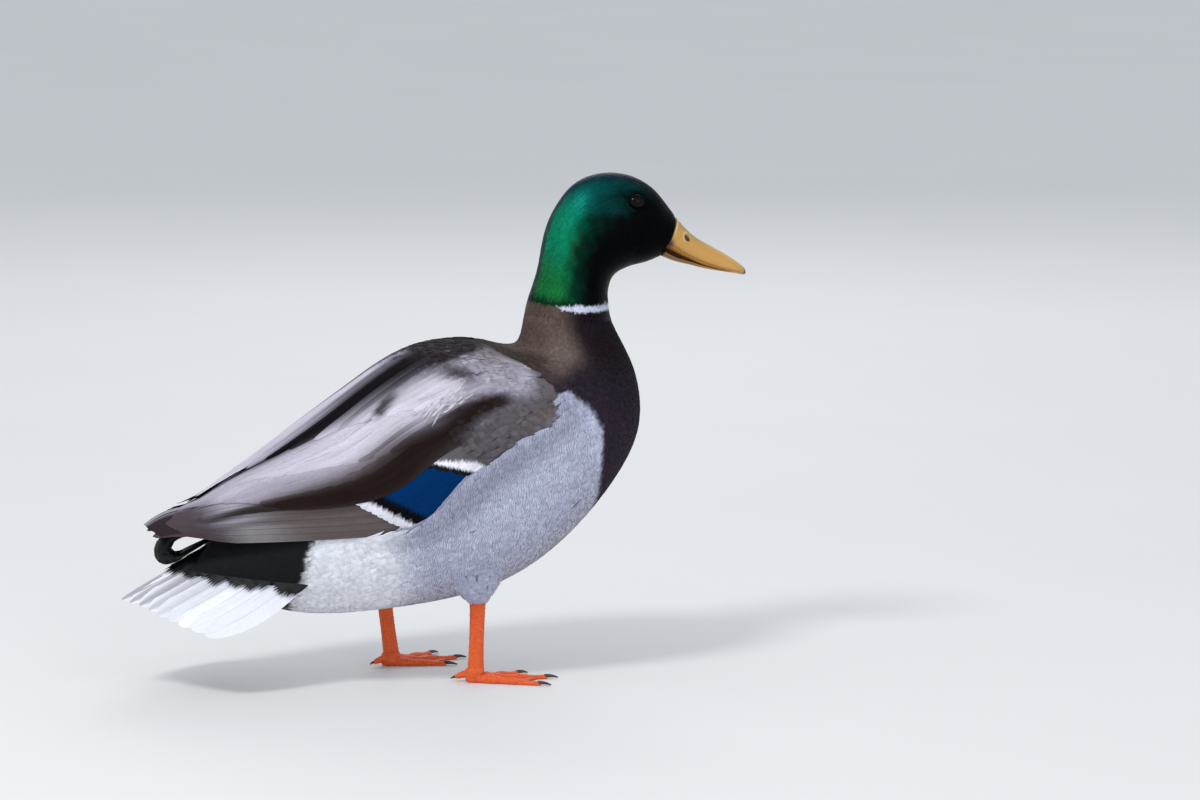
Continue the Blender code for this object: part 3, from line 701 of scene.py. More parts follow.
def roots_of(**given):
    """Roots of feathers from arrays and single numbers: start and end in the bed's
    coordinates, bow of the path between them, half width, heights over the bed at the
    root and the tip, arch across, lift of the tip, bluntness, roll about the shaft, a
    number of its own and, once it is known, length."""
    zeros = np.zeros(len(given["s0"]))
    return {key: zeros + value for key, value in {"bow": 0.0, "roll": 0.0, **given}.items()}


def grow(bed, vane, roots, shape=outline, round_over=0.15):
    """Lays feathers on a bed. Returns their points, the normals, which are the bed's
    rounded over a little across each feather so that the coat shades as one soft
    surface, and the coordinates of each point on the bed."""
    u, c = vane.u[None], vane.c[None]
    row = {key: values[:, None] for key, values in roots.items()}
    ds, dt = row["s1"] - row["s0"], row["t1"] - row["t0"]
    s = row["s0"] + ds * u
    t = row["t0"] + dt * u + row["bow"] * (4 * u * (1 - u))
    dt = dt + row["bow"] * 4 * (1 - 2 * u)
    _, along, around, normal = bed.frame(s, t)
    way = unit(along * ds[..., None] + around * dt[..., None])
    aside = np.cross(normal, way)
    width = row["half"] * shape(np.minimum(u, vane.last + 0.02), row["blunt"]) * c
    ds, dt = solve(along, around, aside * width[..., None])
    arch = row["arch"] * (1 - c * c) * 2 * np.sqrt(np.clip(u * (1 - u), 0, 1))
    height = row["low"] + (row["high"] - row["low"]) * u**0.8 + arch
    height = height + row["lift"] * u**3 + vane.keel * (0.06 + 0.03 * row["half"])
    height = height + row["roll"] * c
    s, t = s + ds, t + dt
    point, _, _, normal = bed.frame(s, t)
    points = point + normal * height[..., None]
    return points, unit(normal + aside * (round_over * c)[..., None]), s, t


SCATTER_CELLS = 48  # cells a bed is divided into, each way, to spread roots over its area
SCATTER_TRIES = 5.0  # places tried for each one that would fit
NEIGHBOURS = [(x, y, z) for x in (-1, 0, 1) for y in (-1, 0, 1) for z in (-1, 0, 1)]


def scatter(bed, low, high, spacing, keep, rng):
    """Roots spread evenly but irregularly over part of a bed, a spacing apart in mm."""
    edges_s = np.linspace(low[0], high[0], SCATTER_CELLS + 1)
    edges_t = np.linspace(low[1], high[1], SCATTER_CELLS + 1)
    mid_s, mid_t = net((edges_s[1:] + edges_s[:-1]) / 2, (edges_t[1:] + edges_t[:-1]) / 2)
    _, along, around, _ = bed.frame(mid_s, mid_t)
    step_s, step_t = edges_s[1] - edges_s[0], edges_t[1] - edges_t[0]
    area = np.linalg.norm(np.cross(along, around), axis=-1) * step_s * step_t
    number = int(SCATTER_TRIES * area.sum() / spacing**2)
    chosen = rng.choice(area.size, number, p=(area / area.sum()).ravel())
    s = mid_s.ravel()[chosen] + (rng.random(number) - 0.5) * step_s
    t = mid_t.ravel()[chosen] + (rng.random(number) - 0.5) * step_t
    point = bed.spot(s, t)
    wanted = keep(s, t, point)
    s, t, point = s[wanted], t[wanted], point[wanted]
    kept, grid = [], {}
    keys = np.floor(point / spacing).astype(int).tolist()
    for i, (x, y, z) in enumerate(keys):
        p = point[i]
        near = (q for dx, dy, dz in NEIGHBOURS for q in grid.get((x + dx, y + dy, z + dz), ()))
        if all(sum((a - b) ** 2 for a, b in zip(p, q)) > spacing**2 for q in near):
            grid.setdefault((x, y, z), []).append(p.tolist())
            kept.append(i)
    return s[kept], t[kept]


def backwards(normal, degrees):
    """The way back and down at a slope, kept on the surface."""
    slope = np.radians(degrees)
    back = np.stack([-np.cos(slope), 0 * slope, -np.sin(slope)], -1)
    return unit(back - normal * (normal * back).sum(-1)[..., None])


def turned(way, normal, angle):
    """A way on the surface, turned about the normal by its own angle for each feather."""
    angle = angle[:, None]
    return way * np.cos(angle) + np.cross(normal, way) * np.sin(angle)


def flow(s, angle, along, normal):
    """The lie of the body's feathers: down the neck, then back along the trunk, and
    steeper beside the lower edge of the wing."""
    beside = np.exp(-((below_wing(s, angle) / 12.0) ** 2)) * smooth(s, 17.5, 18.5)
    level = backwards(normal, 27 + 19 * beside * fade(s, 20.8, 21.6))
    turn = smooth(s, 14.5, 18.5)[..., None]
    return unit(unit(along) * (1 - turn) + level * turn)


def body_roots(s, t, length, width, rng, low, high, turn, lift):
    """Feathers that start at s, t on the body and follow the lie of its plumage."""
    number = len(s)
    _, along, around, normal = body_bed.frame(s, t)
    way = turned(flow(s, t, along, normal), normal, rng.normal(0, turn, number))
    long = length * rng.uniform(0.88, 1.12, number)
    ds, dt = solve(along, around, way * long[:, None])
    wide = width * rng.uniform(0.9, 1.1, number) / 2
    up = rng.normal(0, 0.08, number) * np.abs(low)
    return roots_of(
        s0=s, t0=t, s1=s + ds, t1=t + dt, bow=rng.normal(0, 0.02, number) * np.abs(dt),
        half=wide, low=low + up, high=high + 0.5 * up, arch=0.15 * wide / 3,
        lift=lift * rng.random(number), blunt=4.0, roll=rng.normal(0, 0.02, number) * wide,
        own=rng.random(number), long=long,
    )


PATCH = 0.003  # width of a small feather's patch on the unwrapped bed


def tuft_patches(roots, vane, low, high):
    """Each feather's patch on the unwrapped bed, at its root's place."""
    s = (roots["s0"] - low[0]) / (high[0] - low[0])
    t = (roots["t0"] - low[1]) / (high[1] - low[1])
    place = 0.01 + 0.98 * np.clip(np.stack([s, t], -1), 0, 1)
    inside = np.stack([vane.u - 0.5, vane.c * 0.5], -1) * PATCH
    return place[:, None] + inside[None]


def own_patches(vane, first, number, total):
    """A square of its own for each long feather, whose bars a small patch can't hold."""
    side = math.ceil(math.sqrt(total))
    index = first + np.arange(number)
    corner = np.stack([index % side, index // side], -1) / side
    inside = np.stack([0.08 + 0.84 * vane.u, 0.5 + 0.42 * vane.c], -1) / side
    return corner[:, None] + inside[None]


# ---------------------------------------------------------------- materials


class Shader:
    """A material whose nodes are made by short calls."""

    def __init__(self, name, roughness, **constants):
        self.material = bpy.data.materials.new(name)
        self.material.use_nodes = True
        self.tree = self.material.node_tree
        self.surface = self.tree.nodes["Principled BSDF"]
        self.surface.inputs["Roughness"].default_value = roughness
        for key, value in constants.items():
            self.surface.inputs[key.replace("_", " ")].default_value = value

    def node(self, kind, inputs=(), **settings):
        made = self.tree.nodes.new("ShaderNode" + kind)
        for key, value in settings.items():
            setattr(made, key, value)
        for key, value in dict(inputs).items():
            self.put(made.inputs[key], value)
        return made

    def put(self, socket, value):
        if isinstance(value, bpy.types.NodeSocket):
            self.tree.links.new(value, socket)
        else:
            socket.default_value = value

    def maths(self, operation, *values):
        made = self.node("Math", operation=operation)
        for socket, value in zip(made.inputs, values):
            self.put(socket, value)
        return made.outputs[0]

    def times(self, a, b):
        return self.maths("MULTIPLY", a, b)

    def plus(self, a, b):
        return self.maths("ADD", a, b)

    def tinted(self, colour, by):
        return self.mix(1.0, colour, by, "MULTIPLY")

    def toned(self, colour, by):
        """A colour multiplied by a number."""
        return self.tinted(colour, self.join(by, by, by))

    def fit(self, value, low, high, to_low=0.0, to_high=1.0, soft=True):
        """Maps a value from one range to another, held at its ends."""
        made = self.node("MapRange", interpolation_type="SMOOTHSTEP" if soft else "LINEAR")
        for key, number in enumerate((value, low, high, to_low, to_high)):
            self.put(made.inputs[key], number)
        return made.outputs[0]

    def mix(self, share, a, b, blend_type="MIX"):
        made = self.node("Mix", data_type="RGBA", blend_type=blend_type)
        for socket, value in ((made.inputs[0], share), (made.inputs[6], a), (made.inputs[7], b)):
            if isinstance(value, tuple) and len(value) == 3:
                value = (*value, 1)
            self.put(socket, value)
        return made.outputs[2]

    def attribute(self, name, output="Vector"):
        return self.node("Attribute", attribute_name=name).outputs[output]

    def split(self, vector):
        return self.node("SeparateXYZ", {0: vector}).outputs

    def join(self, x, y, z):
        return self.node("CombineXYZ", {0: x, 1: y, 2: z}).outputs[0]

    def noise(self, vector, scale, detail=2.0, rough=0.5, distortion=0.0):
        made = self.node("TexNoise", {
            "Vector": vector, "Scale": scale, "Detail": detail, "Roughness": rough,
            "Distortion": distortion,
        })
        return made.outputs[0]

    def finish(self, colour, height=None, distance=0.0003, strength=0.6, rough=None):
        self.put(self.surface.inputs["Base Color"], colour)
        if rough is not None:
            self.put(self.surface.inputs["Roughness"], rough)
        if height is not None:
            bump = self.node("Bump", {"Height": height, "Strength": strength, "Distance": distance})
            self.put(self.surface.inputs["Normal"], bump.outputs[0])
        return self.material


SHAFT_BROWN = (0.02, 0.015, 0.014)
HAIR_TINT = (0.42, 0.38, 0.38)
RIM_TINT = (1.9, 1.8, 1.8)
BAR_TINT = (0.46, 0.45, 0.47)


def plumage(name, roughness, streak=0.22, hair=0.0, shaft=0.25, rim=0.0, bars=0.0,
            fine=1.5, depth=0.6, **constants):
    """Feathers: barbs as fine streaks, dark hairs along the vane, a shaft, a paler rim
    and, where the coat's attribute asks for them, fine wavy lines round the body, of a
    given number to the millimetre."""
    shader = Shader(name, roughness, **constants)
    colour = shader.attribute("Col", "Color")
    u, c, barb = shader.split(shader.attribute("vane"))[0:3]
    own, barred, half = shader.split(shader.attribute("extra"))[0:3]
    across = shader.times(c, half)
    side = shader.maths("ABSOLUTE", across)
    seed = shader.times(own, 97.0)
    lane = shader.join(shader.times(barb, fine), seed, shader.times(across, 0.35))
    barbs = shader.noise(lane, 1.0, 3.0, 0.65)
    light = shader.fit(barbs, 0.28, 0.72, 1.0 - streak, 1.0 + streak, soft=False)
    tone = shader.fit(own, 0.0, 1.0, 0.92, 1.07, soft=False)
    colour = shader.toned(colour, shader.times(light, tone))
    if hair:
        along = shader.plus(barb, shader.times(side, BARB_SLOPE))
        strand = shader.join(shader.times(along, 0.05), seed, shader.times(across, 1.3))
        colour = haired(shader, colour, strand, hair)
    height = barbs
    on_shaft = shader.fit(side, 0.08, 0.30, 1.0, 0.0)
    on_shaft = shader.times(on_shaft, shader.fit(u, 0.75, 0.95, 1.0, 0.0))
    if shaft:
        colour = shader.mix(shader.times(on_shaft, shaft), colour, SHAFT_BROWN)
        height = shader.plus(height, shader.times(on_shaft, 0.6))
    if rim:
        colour = rimmed(shader, colour, u, c, rim)
    if bars:
        colour = barred_across(shader, colour, barred, bars)
    return shader.finish(colour, height, 0.0002, depth)


def haired(shader, colour, strand, share):
    dark = shader.fit(shader.noise(strand, 1.0, 3.0, 0.6), 0.52, 0.78)
    lined = shader.tinted(colour, HAIR_TINT)
    return shader.mix(shader.times(dark, share), colour, lined)


def rimmed(shader, colour, u, c, share):
    at_sides = shader.fit(shader.maths("ABSOLUTE", c), 0.62, 0.95)
    edge = shader.maths("MAXIMUM", at_sides, shader.fit(u, 0.80, 0.97))
    pale = shader.tinted(colour, RIM_TINT)
    return shader.mix(shader.times(edge, share), colour, pale)


def barred_across(shader, colour, barred, to_the_mm):
    place = place_mm(shader)
    wander = shader.noise(place, 0.16, 2.0)
    phase = shader.times(shader.split(place)[0], to_the_mm)
    phase = shader.plus(phase, shader.times(wander, 5.0))
    wave = shader.maths("SINE", shader.times(phase, math.tau))
    dark = shader.times(shader.fit(wave, -0.5, 0.9), barred)
    lined = shader.tinted(colour, BAR_TINT)
    return shader.mix(shader.times(dark, 0.62), colour, lined)


# Finishes of the feathers: material's name, roughness and what else plumage() is told.
PLUMAGES = {
    "head": ("head_plumage", 0.42, dict(
        streak=0.34, shaft=0.0, fine=2.2, depth=0.3, Metallic=0.55, Specular_IOR_Level=0.03)),
    "brown": ("breast_plumage", 0.65, dict(
        streak=0.26, hair=0.8, shaft=0.0, fine=1.6, Specular_IOR_Level=0.03)),
    "grey": ("flank_plumage", 0.70, dict(
        streak=0.07, hair=0.18, shaft=0.0, bars=0.75, fine=1.4, depth=0.4,
        Sheen_Weight=0.08, Sheen_Roughness=0.5, Specular_IOR_Level=0.15)),
    "black": ("rump_plumage", 0.45, dict(
        streak=0.25, shaft=0.2, Specular_IOR_Level=0.22)),
    "scapular": ("scapular_plumage", 0.60, dict(
        streak=0.12, hair=0.85, shaft=0.10, rim=0.15, fine=1.2, Specular_IOR_Level=0.02)),
    "wing": ("wing_plumage", 0.62, dict(
        streak=0.10, hair=0.3, shaft=0.08, rim=0.12, Specular_IOR_Level=0.12)),
    "quill": ("primary_plumage", 0.50, dict(
        streak=0.12, hair=0.3, shaft=0.5, rim=0.30, fine=1.8, depth=0.8,
        Specular_IOR_Level=0.15)),
    "speculum": ("speculum_plumage", 0.42, dict(
        streak=0.16, hair=0.6, shaft=0.10, fine=1.8, depth=0.5, Metallic=0.25,
        Specular_IOR_Level=0.02)),
    "tail": ("tail_plumage", 0.60, dict(
        streak=0.08, hair=0.3, shaft=0.3, fine=1.8, depth=0.7, Specular_IOR_Level=0.2)),
}


def make_materials():
    made = {key: plumage(name, rough, **rest) for key, (name, rough, rest) in PLUMAGES.items()}
    made["skin"] = skin_material()
    made["bill"] = bill_material()
    made["leg"] = leg_material()
    made["claw"] = claw_material()
    made["eye"] = eye_material()
    return made


def place_mm(shader):
    """The place on the duck, in millimetres."""
    vector = shader.node("TexCoord").outputs["Object"]
    scaled = shader.node("VectorMath", {0: vector}, operation="SCALE")
    scaled.inputs[3].default_value = 1000.0
    return scaled.outputs[0]


def skin_material():
    """Down and skin under the feathers, with the markings of the coat."""
    shader = Shader("skin_down", 0.8, Specular_IOR_Level=0.08)
    place = place_mm(shader)
    down = shader.noise(place, 0.9, 4.0, 0.7)
    tone = shader.fit(down, 0.3, 0.7, 0.80, 1.10, soft=False)
    colour = shader.toned(shader.attribute("Col", "Color"), tone)
    return shader.finish(colour, down, 0.0005, 0.8)


def bill_material():
    """Horn with orange mottling, a fine grain and dark flecks."""
    shader = Shader("bill_skin", 0.42, Subsurface_Weight=0.06, Specular_IOR_Level=0.45,
                    Coat_Weight=0.08, Coat_Roughness=0.3)
    shader.surface.inputs["Subsurface Radius"].default_value = (0.004, 0.002, 0.001)
    place = place_mm(shader)
    colour = shader.attribute("Col", "Color")
    mottle = shader.noise(place, 0.35, 4.0, 0.6)
    colour = shader.mix(shader.fit(mottle, 0.50, 0.75, 0.0, 0.35), colour, (0.60, 0.20, 0.045))
    grain = shader.noise(place, 2.4, 3.0, 0.6)
    tone = shader.fit(grain, 0.3, 0.7, 0.90, 1.08, soft=False)
    colour = shader.toned(colour, tone)
    fleck = shader.fit(shader.noise(place, 1.1, 2.0, 0.5), 0.68, 0.74)
    colour = shader.mix(shader.times(fleck, 0.35), colour, (0.10, 0.055, 0.03))
    rough = shader.fit(mottle, 0.3, 0.7, 0.36, 0.52)
    return shader.finish(colour, grain, 0.0002, 0.5, rough)


def leg_material():
    """Scaled skin: small polygons between dark lines, finer on the webs."""
    shader = Shader("leg_skin", 0.46, Subsurface_Weight=0.05, Specular_IOR_Level=0.45)
    shader.surface.inputs["Subsurface Radius"].default_value = (0.003, 0.001, 0.0005)
    place = place_mm(shader)
    cells = shader.node("TexVoronoi", {"Vector": place, "Scale": 0.95}, feature="DISTANCE_TO_EDGE")
    line = shader.fit(cells.outputs["Distance"], 0.02, 0.16)
    colour = shader.attribute("Col", "Color")
    mottle = shader.noise(place, 0.22, 3.0, 0.6)
    colour = shader.mix(shader.fit(mottle, 0.40, 0.7, 0.0, 0.35), colour, (0.95, 0.22, 0.04))
    groove = shader.tinted(colour, (0.74, 0.54, 0.46))
    colour = shader.mix(line, groove, colour)
    height = shader.plus(line, shader.times(mottle, 0.4))
    return shader.finish(colour, height, 0.0003, 0.7, shader.fit(mottle, 0.3, 0.7, 0.40, 0.56))


def claw_material():
    """Dark horn, streaked paler."""
    shader = Shader("claw_horn", 0.34, Specular_IOR_Level=0.5)
    place = place_mm(shader)
    grain = shader.noise(place, 1.3, 4.0, 0.7)
    colour = shader.mix(shader.fit(grain, 0.35, 0.7), (0.016, 0.010, 0.009), (0.075, 0.045, 0.032))
    return shader.finish(colour, grain, 0.0001, 0.5)


def eye_material():
    """A wet eye: black pupil in a dark brown iris with fine rays."""
    shader = Shader("eye_surface", 0.05, Specular_IOR_Level=0.12)
    place = shader.split(place_mm(shader))
    centre = (EYE_PLACE[0] - MIDDLE_X, EYE_PLACE[2])
    x = shader.maths("SUBTRACT", place[0], centre[0])
    z = shader.maths("SUBTRACT", place[2], centre[1])
    away = shader.maths("SQRT", shader.maths(
        "ADD", shader.times(x, x), shader.times(z, z)))
    round_it = shader.maths("ARCTAN2", z, x)
    rays = shader.noise(shader.join(shader.times(round_it, 9.0), away, 0.0), 1.0, 3.0)
    iris = shader.mix(shader.fit(rays, 0.3, 0.7), (0.0012, 0.0009, 0.0009), (0.0030, 0.0019, 0.0016))
    colour = shader.mix(shader.fit(away, 2.0, 2.35), (0.0015, 0.0015, 0.0018), iris)
    colour = shader.mix(shader.fit(away, 3.7, 4.4), colour, (0.004, 0.003, 0.003))
    return shader.finish(colour)


# ---------------------------------------------------------------- plumage of the body

# Tracts of the body: name; first and last station; spacing, length and width of the
# feathers, mm; height of the roots over the bed; rows, columns and fringe of the vane;
# piece.
TRACTS = (
    ("face", 0.06, 2.6, 0.88, 3.0, 1.35, -0.34, (3, 3, False), "plumage_head"),
    ("crown", 2.6, 8.0, 1.06, 5.6, 2.0, -0.40, (4, 3, False), "plumage_head"),
    ("neck", 8.0, 10.6, 1.22, 7.0, 2.1, -0.45, (3, 5, True), "plumage_neck"),
    ("ring", 10.6, 11.25, 1.02, 4.8, 1.9, -0.40, (3, 5, True), "plumage_neck"),
    ("hindneck", 11.25, 13.5, 1.27, 9.0, 2.9, -0.50, (3, 5, True), "plumage_breast"),
    ("breast", 13.5, 19.1, 1.60, 9.5, 3.5, -0.55, (3, 5, True), "plumage_breast"),
    ("flank", 15.7, 21.7, 1.90, 12.0, 3.9, -0.62, (3, 5, True), "plumage_flank"),
    ("stern", 21.7, 24.95, 2.05, 13.0, 4.8, -0.70, (3, 5, True), "plumage_rump"),
)


# The finish and the slot of each piece of the body's coat.
BODY_PIECES = {
    "plumage_head": ("head", "head_plumage"),
    "plumage_neck": ("head", "head_plumage"),
    "plumage_breast": ("brown", "breast_plumage"),
    "plumage_flank": ("grey", "flank_plumage"),
    "plumage_rump": ("grey", "rump_plumage"),
}


def clear_of_wing(s, angle):
    """Whether a root isn't hidden by the folded wing."""
    over = 3.5 * smooth(s, 17.0, 18.5) - 2.0 * smooth(s, 19.4, 20.2)
    return (s < 15.15) | (s > 21.5) | (below_wing(s, angle) > 1.0 - over)


def grow_body(materials):
    """The coat of the body, tract by tract, from the bill to the root of the tail."""
    coats = {}
    for number, tract in enumerate(TRACTS):
        name, start, end, spacing, length, width, low, kind, owner = tract
        rng = np.random.default_rng(SEED + number)

        def keep(s, angle, point, name=name):
            wanted = clear_of_wing(s, angle)
            if s.min() < 8:
                wanted &= eye_distance(point) > EYE_RADIUS
            end = brown_end(np.degrees(np.abs(angle)))
            if name == "breast":
                wanted &= s < end
            if name == "flank":
                wanted &= s >= end
            return wanted

        s, t = scatter(body_bed, (start, -math.pi), (end, math.pi), spacing, keep, rng)
        vane = Vane(*kind)
        fluffy = kind[2]
        near_eye = smooth(eye_distance(body_bed.spot(s, t)), 5.0, 11.0)
        size = np.where(s < 8, 0.55 + 0.45 * near_eye, 1.0)
        grown = 0.75 + 0.25 * smooth(s, start, start + 0.5) if name == "face" else 1.0
        roots = body_roots(
            s, t, length * size * grown, width * size, rng, low, -0.12,
            turn=0.06 if s.max() < 11.3 else 0.10, lift=0.03 * length**0.7 if fluffy else 0.02)
        points, normals, on_s, on_t = grow(body_bed, vane, roots)
        colour_s = s[:, None] + (on_s - s[:, None]) * 0.85
        colour_t = t[:, None] + (on_t - t[:, None]) * 0.85
        colour_s = colour_s + rng.normal(0, 0.035, len(s))[:, None]
        colour, bars = body_marking(colour_s, colour_t)
        colour = colour * rng.uniform(0.88, 1.10, len(s))[:, None, None]
        patches = tuft_patches(roots, vane, (0, -math.pi), (LAST_STATION, math.pi))
        coat = coats.setdefault(owner, Coat())
        coat.add(vane, roots, points, normals, colour, patches, bars)
    for name, coat in coats.items():
        finish, slot = BODY_PIECES[name]
        coat.build(name, materials[finish], slot)


# ---------------------------------------------------------------- skin


def grid_faces(rows, columns, closed=False):
    """The quads of a grid of points, facing along the normal."""
    i, j = net(np.arange(rows - 1), np.arange(columns if closed else columns - 1))
    k = (j + 1) % columns
    corners = ((i, j), (i + 1, j), (i + 1, k), (i, k))
    return np.stack([row * columns + column for row, column in corners], -1).reshape(-1, 4)


SHARP_FROM = math.radians(50)


class Shells:
    """Closed surfaces gathered into one piece."""

    def __init__(self):
        self.points, self.faces, self.colour = [], [], []
        self.count = 0

    def add(self, points, faces, colour):
        points = points.reshape(-1, 3)
        self.points.append(points)
        self.faces += [[self.count + k for k in face] for face in faces]
        self.colour.append(np.broadcast_to(colour, points.shape))
        self.count += len(points)

    def tube(self, grid, colour):
        """A stack of rings, closed by a cap at each end."""
        rows, columns = grid.shape[:2]
        faces = grid_faces(rows, columns, closed=True).tolist()
        faces.append(list(range(columns)))
        faces.append(list(range((rows - 1) * columns, rows * columns))[::-1])
        self.add(grid, faces, colour)

    def slab(self, top, under, colour):
        """The space between two grids of points of the same shape."""
        rows, columns = top.shape[:2]
        upper = grid_faces(rows, columns)
        lower = upper[:, ::-1] + rows * columns
        rim = [(i, 0) for i in range(rows)] + [(rows - 1, j) for j in range(1, columns)]
        rim += [(i, columns - 1) for i in range(rows - 2, -1, -1)]
        rim += [(0, j) for j in range(columns - 2, 0, -1)]
        index = [i * columns + j for i, j in rim]
        size = rows * columns
        sides = [[b, a, a + size, b + size] for a, b in zip(index, index[1:] + index[:1])]
        colour = np.broadcast_to(colour, top.shape)
        self.add(np.stack([top, under]), upper.tolist() + lower.tolist() + sides,
                 np.stack([colour, colour]).reshape(-1, 3))

    def build(self, name, finish, slot, replaced=(), mirrored=False):
        points = np.concatenate(self.points)
        faces = self.faces
        if mirrored:
            points = points * np.array([1, -1, 1])
            faces = [face[::-1] for face in faces]
        loops = np.array([k for face in faces for k in face])
        sizes = np.array([len(face) for face in faces])
        colour = np.concatenate(self.colour)
        made = piece(name, points, loops, sizes, colour, finish, replaced)
        made.data.set_sharp_from_angle(angle=SHARP_FROM)


SKIN_REPLACES = (
    "head", "neck", "neck_base", "breast", "trunk", "rump", "thigh_left", "thigh_right",
)
LID_BLACK = (0.002, 0.002, 0.003)


def skin_depth(s):
    """How far the skin lies under the coat's outside."""
    return HEAD_DEPTH + (BODY_DEPTH - HEAD_DEPTH) * smooth(s, 8.0, 12.0)


def build_skin(materials):
    """One skin from the face to the root of the tail, with lids and feathered thighs."""
    shells = Shells()
    s, t = net(np.linspace(0.02, LAST_STATION, 260), circle(144, -math.pi))
    points = body_bed.place(s, t, -skin_depth(s))
    colour, _ = body_marking(s, t)
    shells.tube(points, colour.reshape(-1, 3))
    for leg in LEGS.values():
        down, angle = net(np.linspace(0, 1, 14), circle(32))
        # The flank's grey at 0.6: painted shade on the thighs' skin under their feathers.
        shells.tube(thigh_spot(leg)(down, angle), np.array(FLANK) * 0.6)
    for sign in SIDES.values():
        ring = lid_ring(sign)
        shells.add(ring, ring_faces(*ring.shape[:2], sign), LID_BLACK)
    shells.build("skin", materials["skin"], "flank_plumage", SKIN_REPLACES)


def thigh_spot(leg):
    """Surface of the feathered thigh: share of the way down, and angle round it."""
    slope = math.tan(math.radians(leg["lean"]))
    x = leg["x"] + slope * (SHANK_TOP - FOOT_HEIGHT)
    heights = [row[0] for row in THIGH]
    rings = natural_spline(heights, [row[1:] for row in THIGH])

    def spot(down, angle):
        angle = -angle
        height = THIGH[-1][0] + (THIGH[0][0] - THIGH[-1][0]) * down
        half_x, half_y, back = np.moveaxis(rings(height), -1, 0)
        return np.stack([
            x - back + half_x * np.cos(angle), leg["y"] + half_y * np.sin(angle),
            SHANK_TOP + height,
        ], -1)

    return spot


def lid_ring(sign):
    """The rim of the lids: a soft fold round an almond opening, on the eyeball."""
    turn, section = net(circle(48), circle(10))
    pinch = 1 + 0.08 * np.cos(turn) ** 4
    wide = (LID_OPENING[0] + 0.38 * (1 - np.cos(section))) * pinch
    tall = LID_OPENING[1] + 0.38 * (1 - np.cos(section))
    x, z = wide * np.cos(turn), tall * np.sin(turn)
    inside = np.clip(1 - (x**2 + (z / EYE_STRETCH[2]) ** 2) / (EYE_RADIUS + 0.35) ** 2, 0, 1)
    y = EYE_PLACE[1] + EYE_RADIUS * EYE_STRETCH[1] * np.sqrt(inside) + 0.10 + 0.34 * np.sin(section)
    return np.stack([EYE_PLACE[0] + x, sign * y, EYE_PLACE[2] + z], -1)


def ring_faces(rows, columns, sign):
    """Faces of a ring that closes both ways."""
    faces = []
    for i in range(rows):
        for j in range(columns):
            k, m = (i + 1) % rows, (j + 1) % columns
            face = [i * columns + j, i * columns + m, k * columns + m, k * columns + j]
            faces.append(face if sign > 0 else face[::-1])
    return faces


def grow_thighs(materials):
    """Short soft feathers down each thigh to the bare shank."""
    coat = Coat()
    vane = Vane(5, 5, True)
    for number, leg in enumerate(LEGS.values()):
        rng = np.random.default_rng(THIGH_SEED + number)
        bed = Bed(thigh_spot(leg))
        s, t = scatter(bed, (0.05, 0.0), (0.98, math.tau), 2.3, lambda s, t, p: s > -1, rng)
        count = len(s)
        _, along, around, normal = bed.frame(s, t)
        way = turned(unit(along), normal, rng.normal(0, 0.15, count))
        long = rng.uniform(6.0, 8.0, count)
        ds, dt = solve(along, around, way * long[:, None])
        roots = roots_of(
            s0=s, t0=t, s1=np.minimum(s + ds, 1.03), t1=t + dt, half=rng.uniform(1.7, 2.3, count),
            low=-0.3, high=1.2, arch=0.2, lift=0.4 * rng.random(count), blunt=4.0,
            own=rng.random(count), long=long,
        )
        points, normals, _, _ = grow(bed, vane, roots)
        # The flank's grey at 0.92 is painted shade on the thighs, with a random tone for each feather.
        colour = np.array(FLANK) * 0.92 * rng.uniform(0.85, 1.08, count)[:, None, None]
        patches = tuft_patches(roots, vane, (0, -math.tau * number), (1.0, math.tau * (2 - number)))
        coat.add(vane, roots, points, normals, colour, patches, bars=0.4)
    coat.build("plumage_thighs", materials["grey"], "flank_plumage")


# ---------------------------------------------------------------- wings

# Small feathers of the wing: first and last station; first and last share of its
# depth; spacing, length and width, mm; turn towards the lower edge, radians.
SMALL_WING = (
    ("mantle", 15.08, 18.5, 0.0, 0.37, 2.3, 12.0, 4.8, 0.02),
    ("shoulder", 15.08, 17.9, 0.37, 0.74, 2.2, 12.0, 4.4, 0.12),
    ("lesser", 15.4, 19.0, 0.70, 0.99, 2.3, 11.0, 4.6, 0.05),
    ("wisps", 17.7, 18.8, 0.46, 0.55, 2.5, 17.0, 1.7, 0.50),
)

SMALL_AREA = (14.5, -0.1), (20, 1.2)  # of the bed, where their roots lie

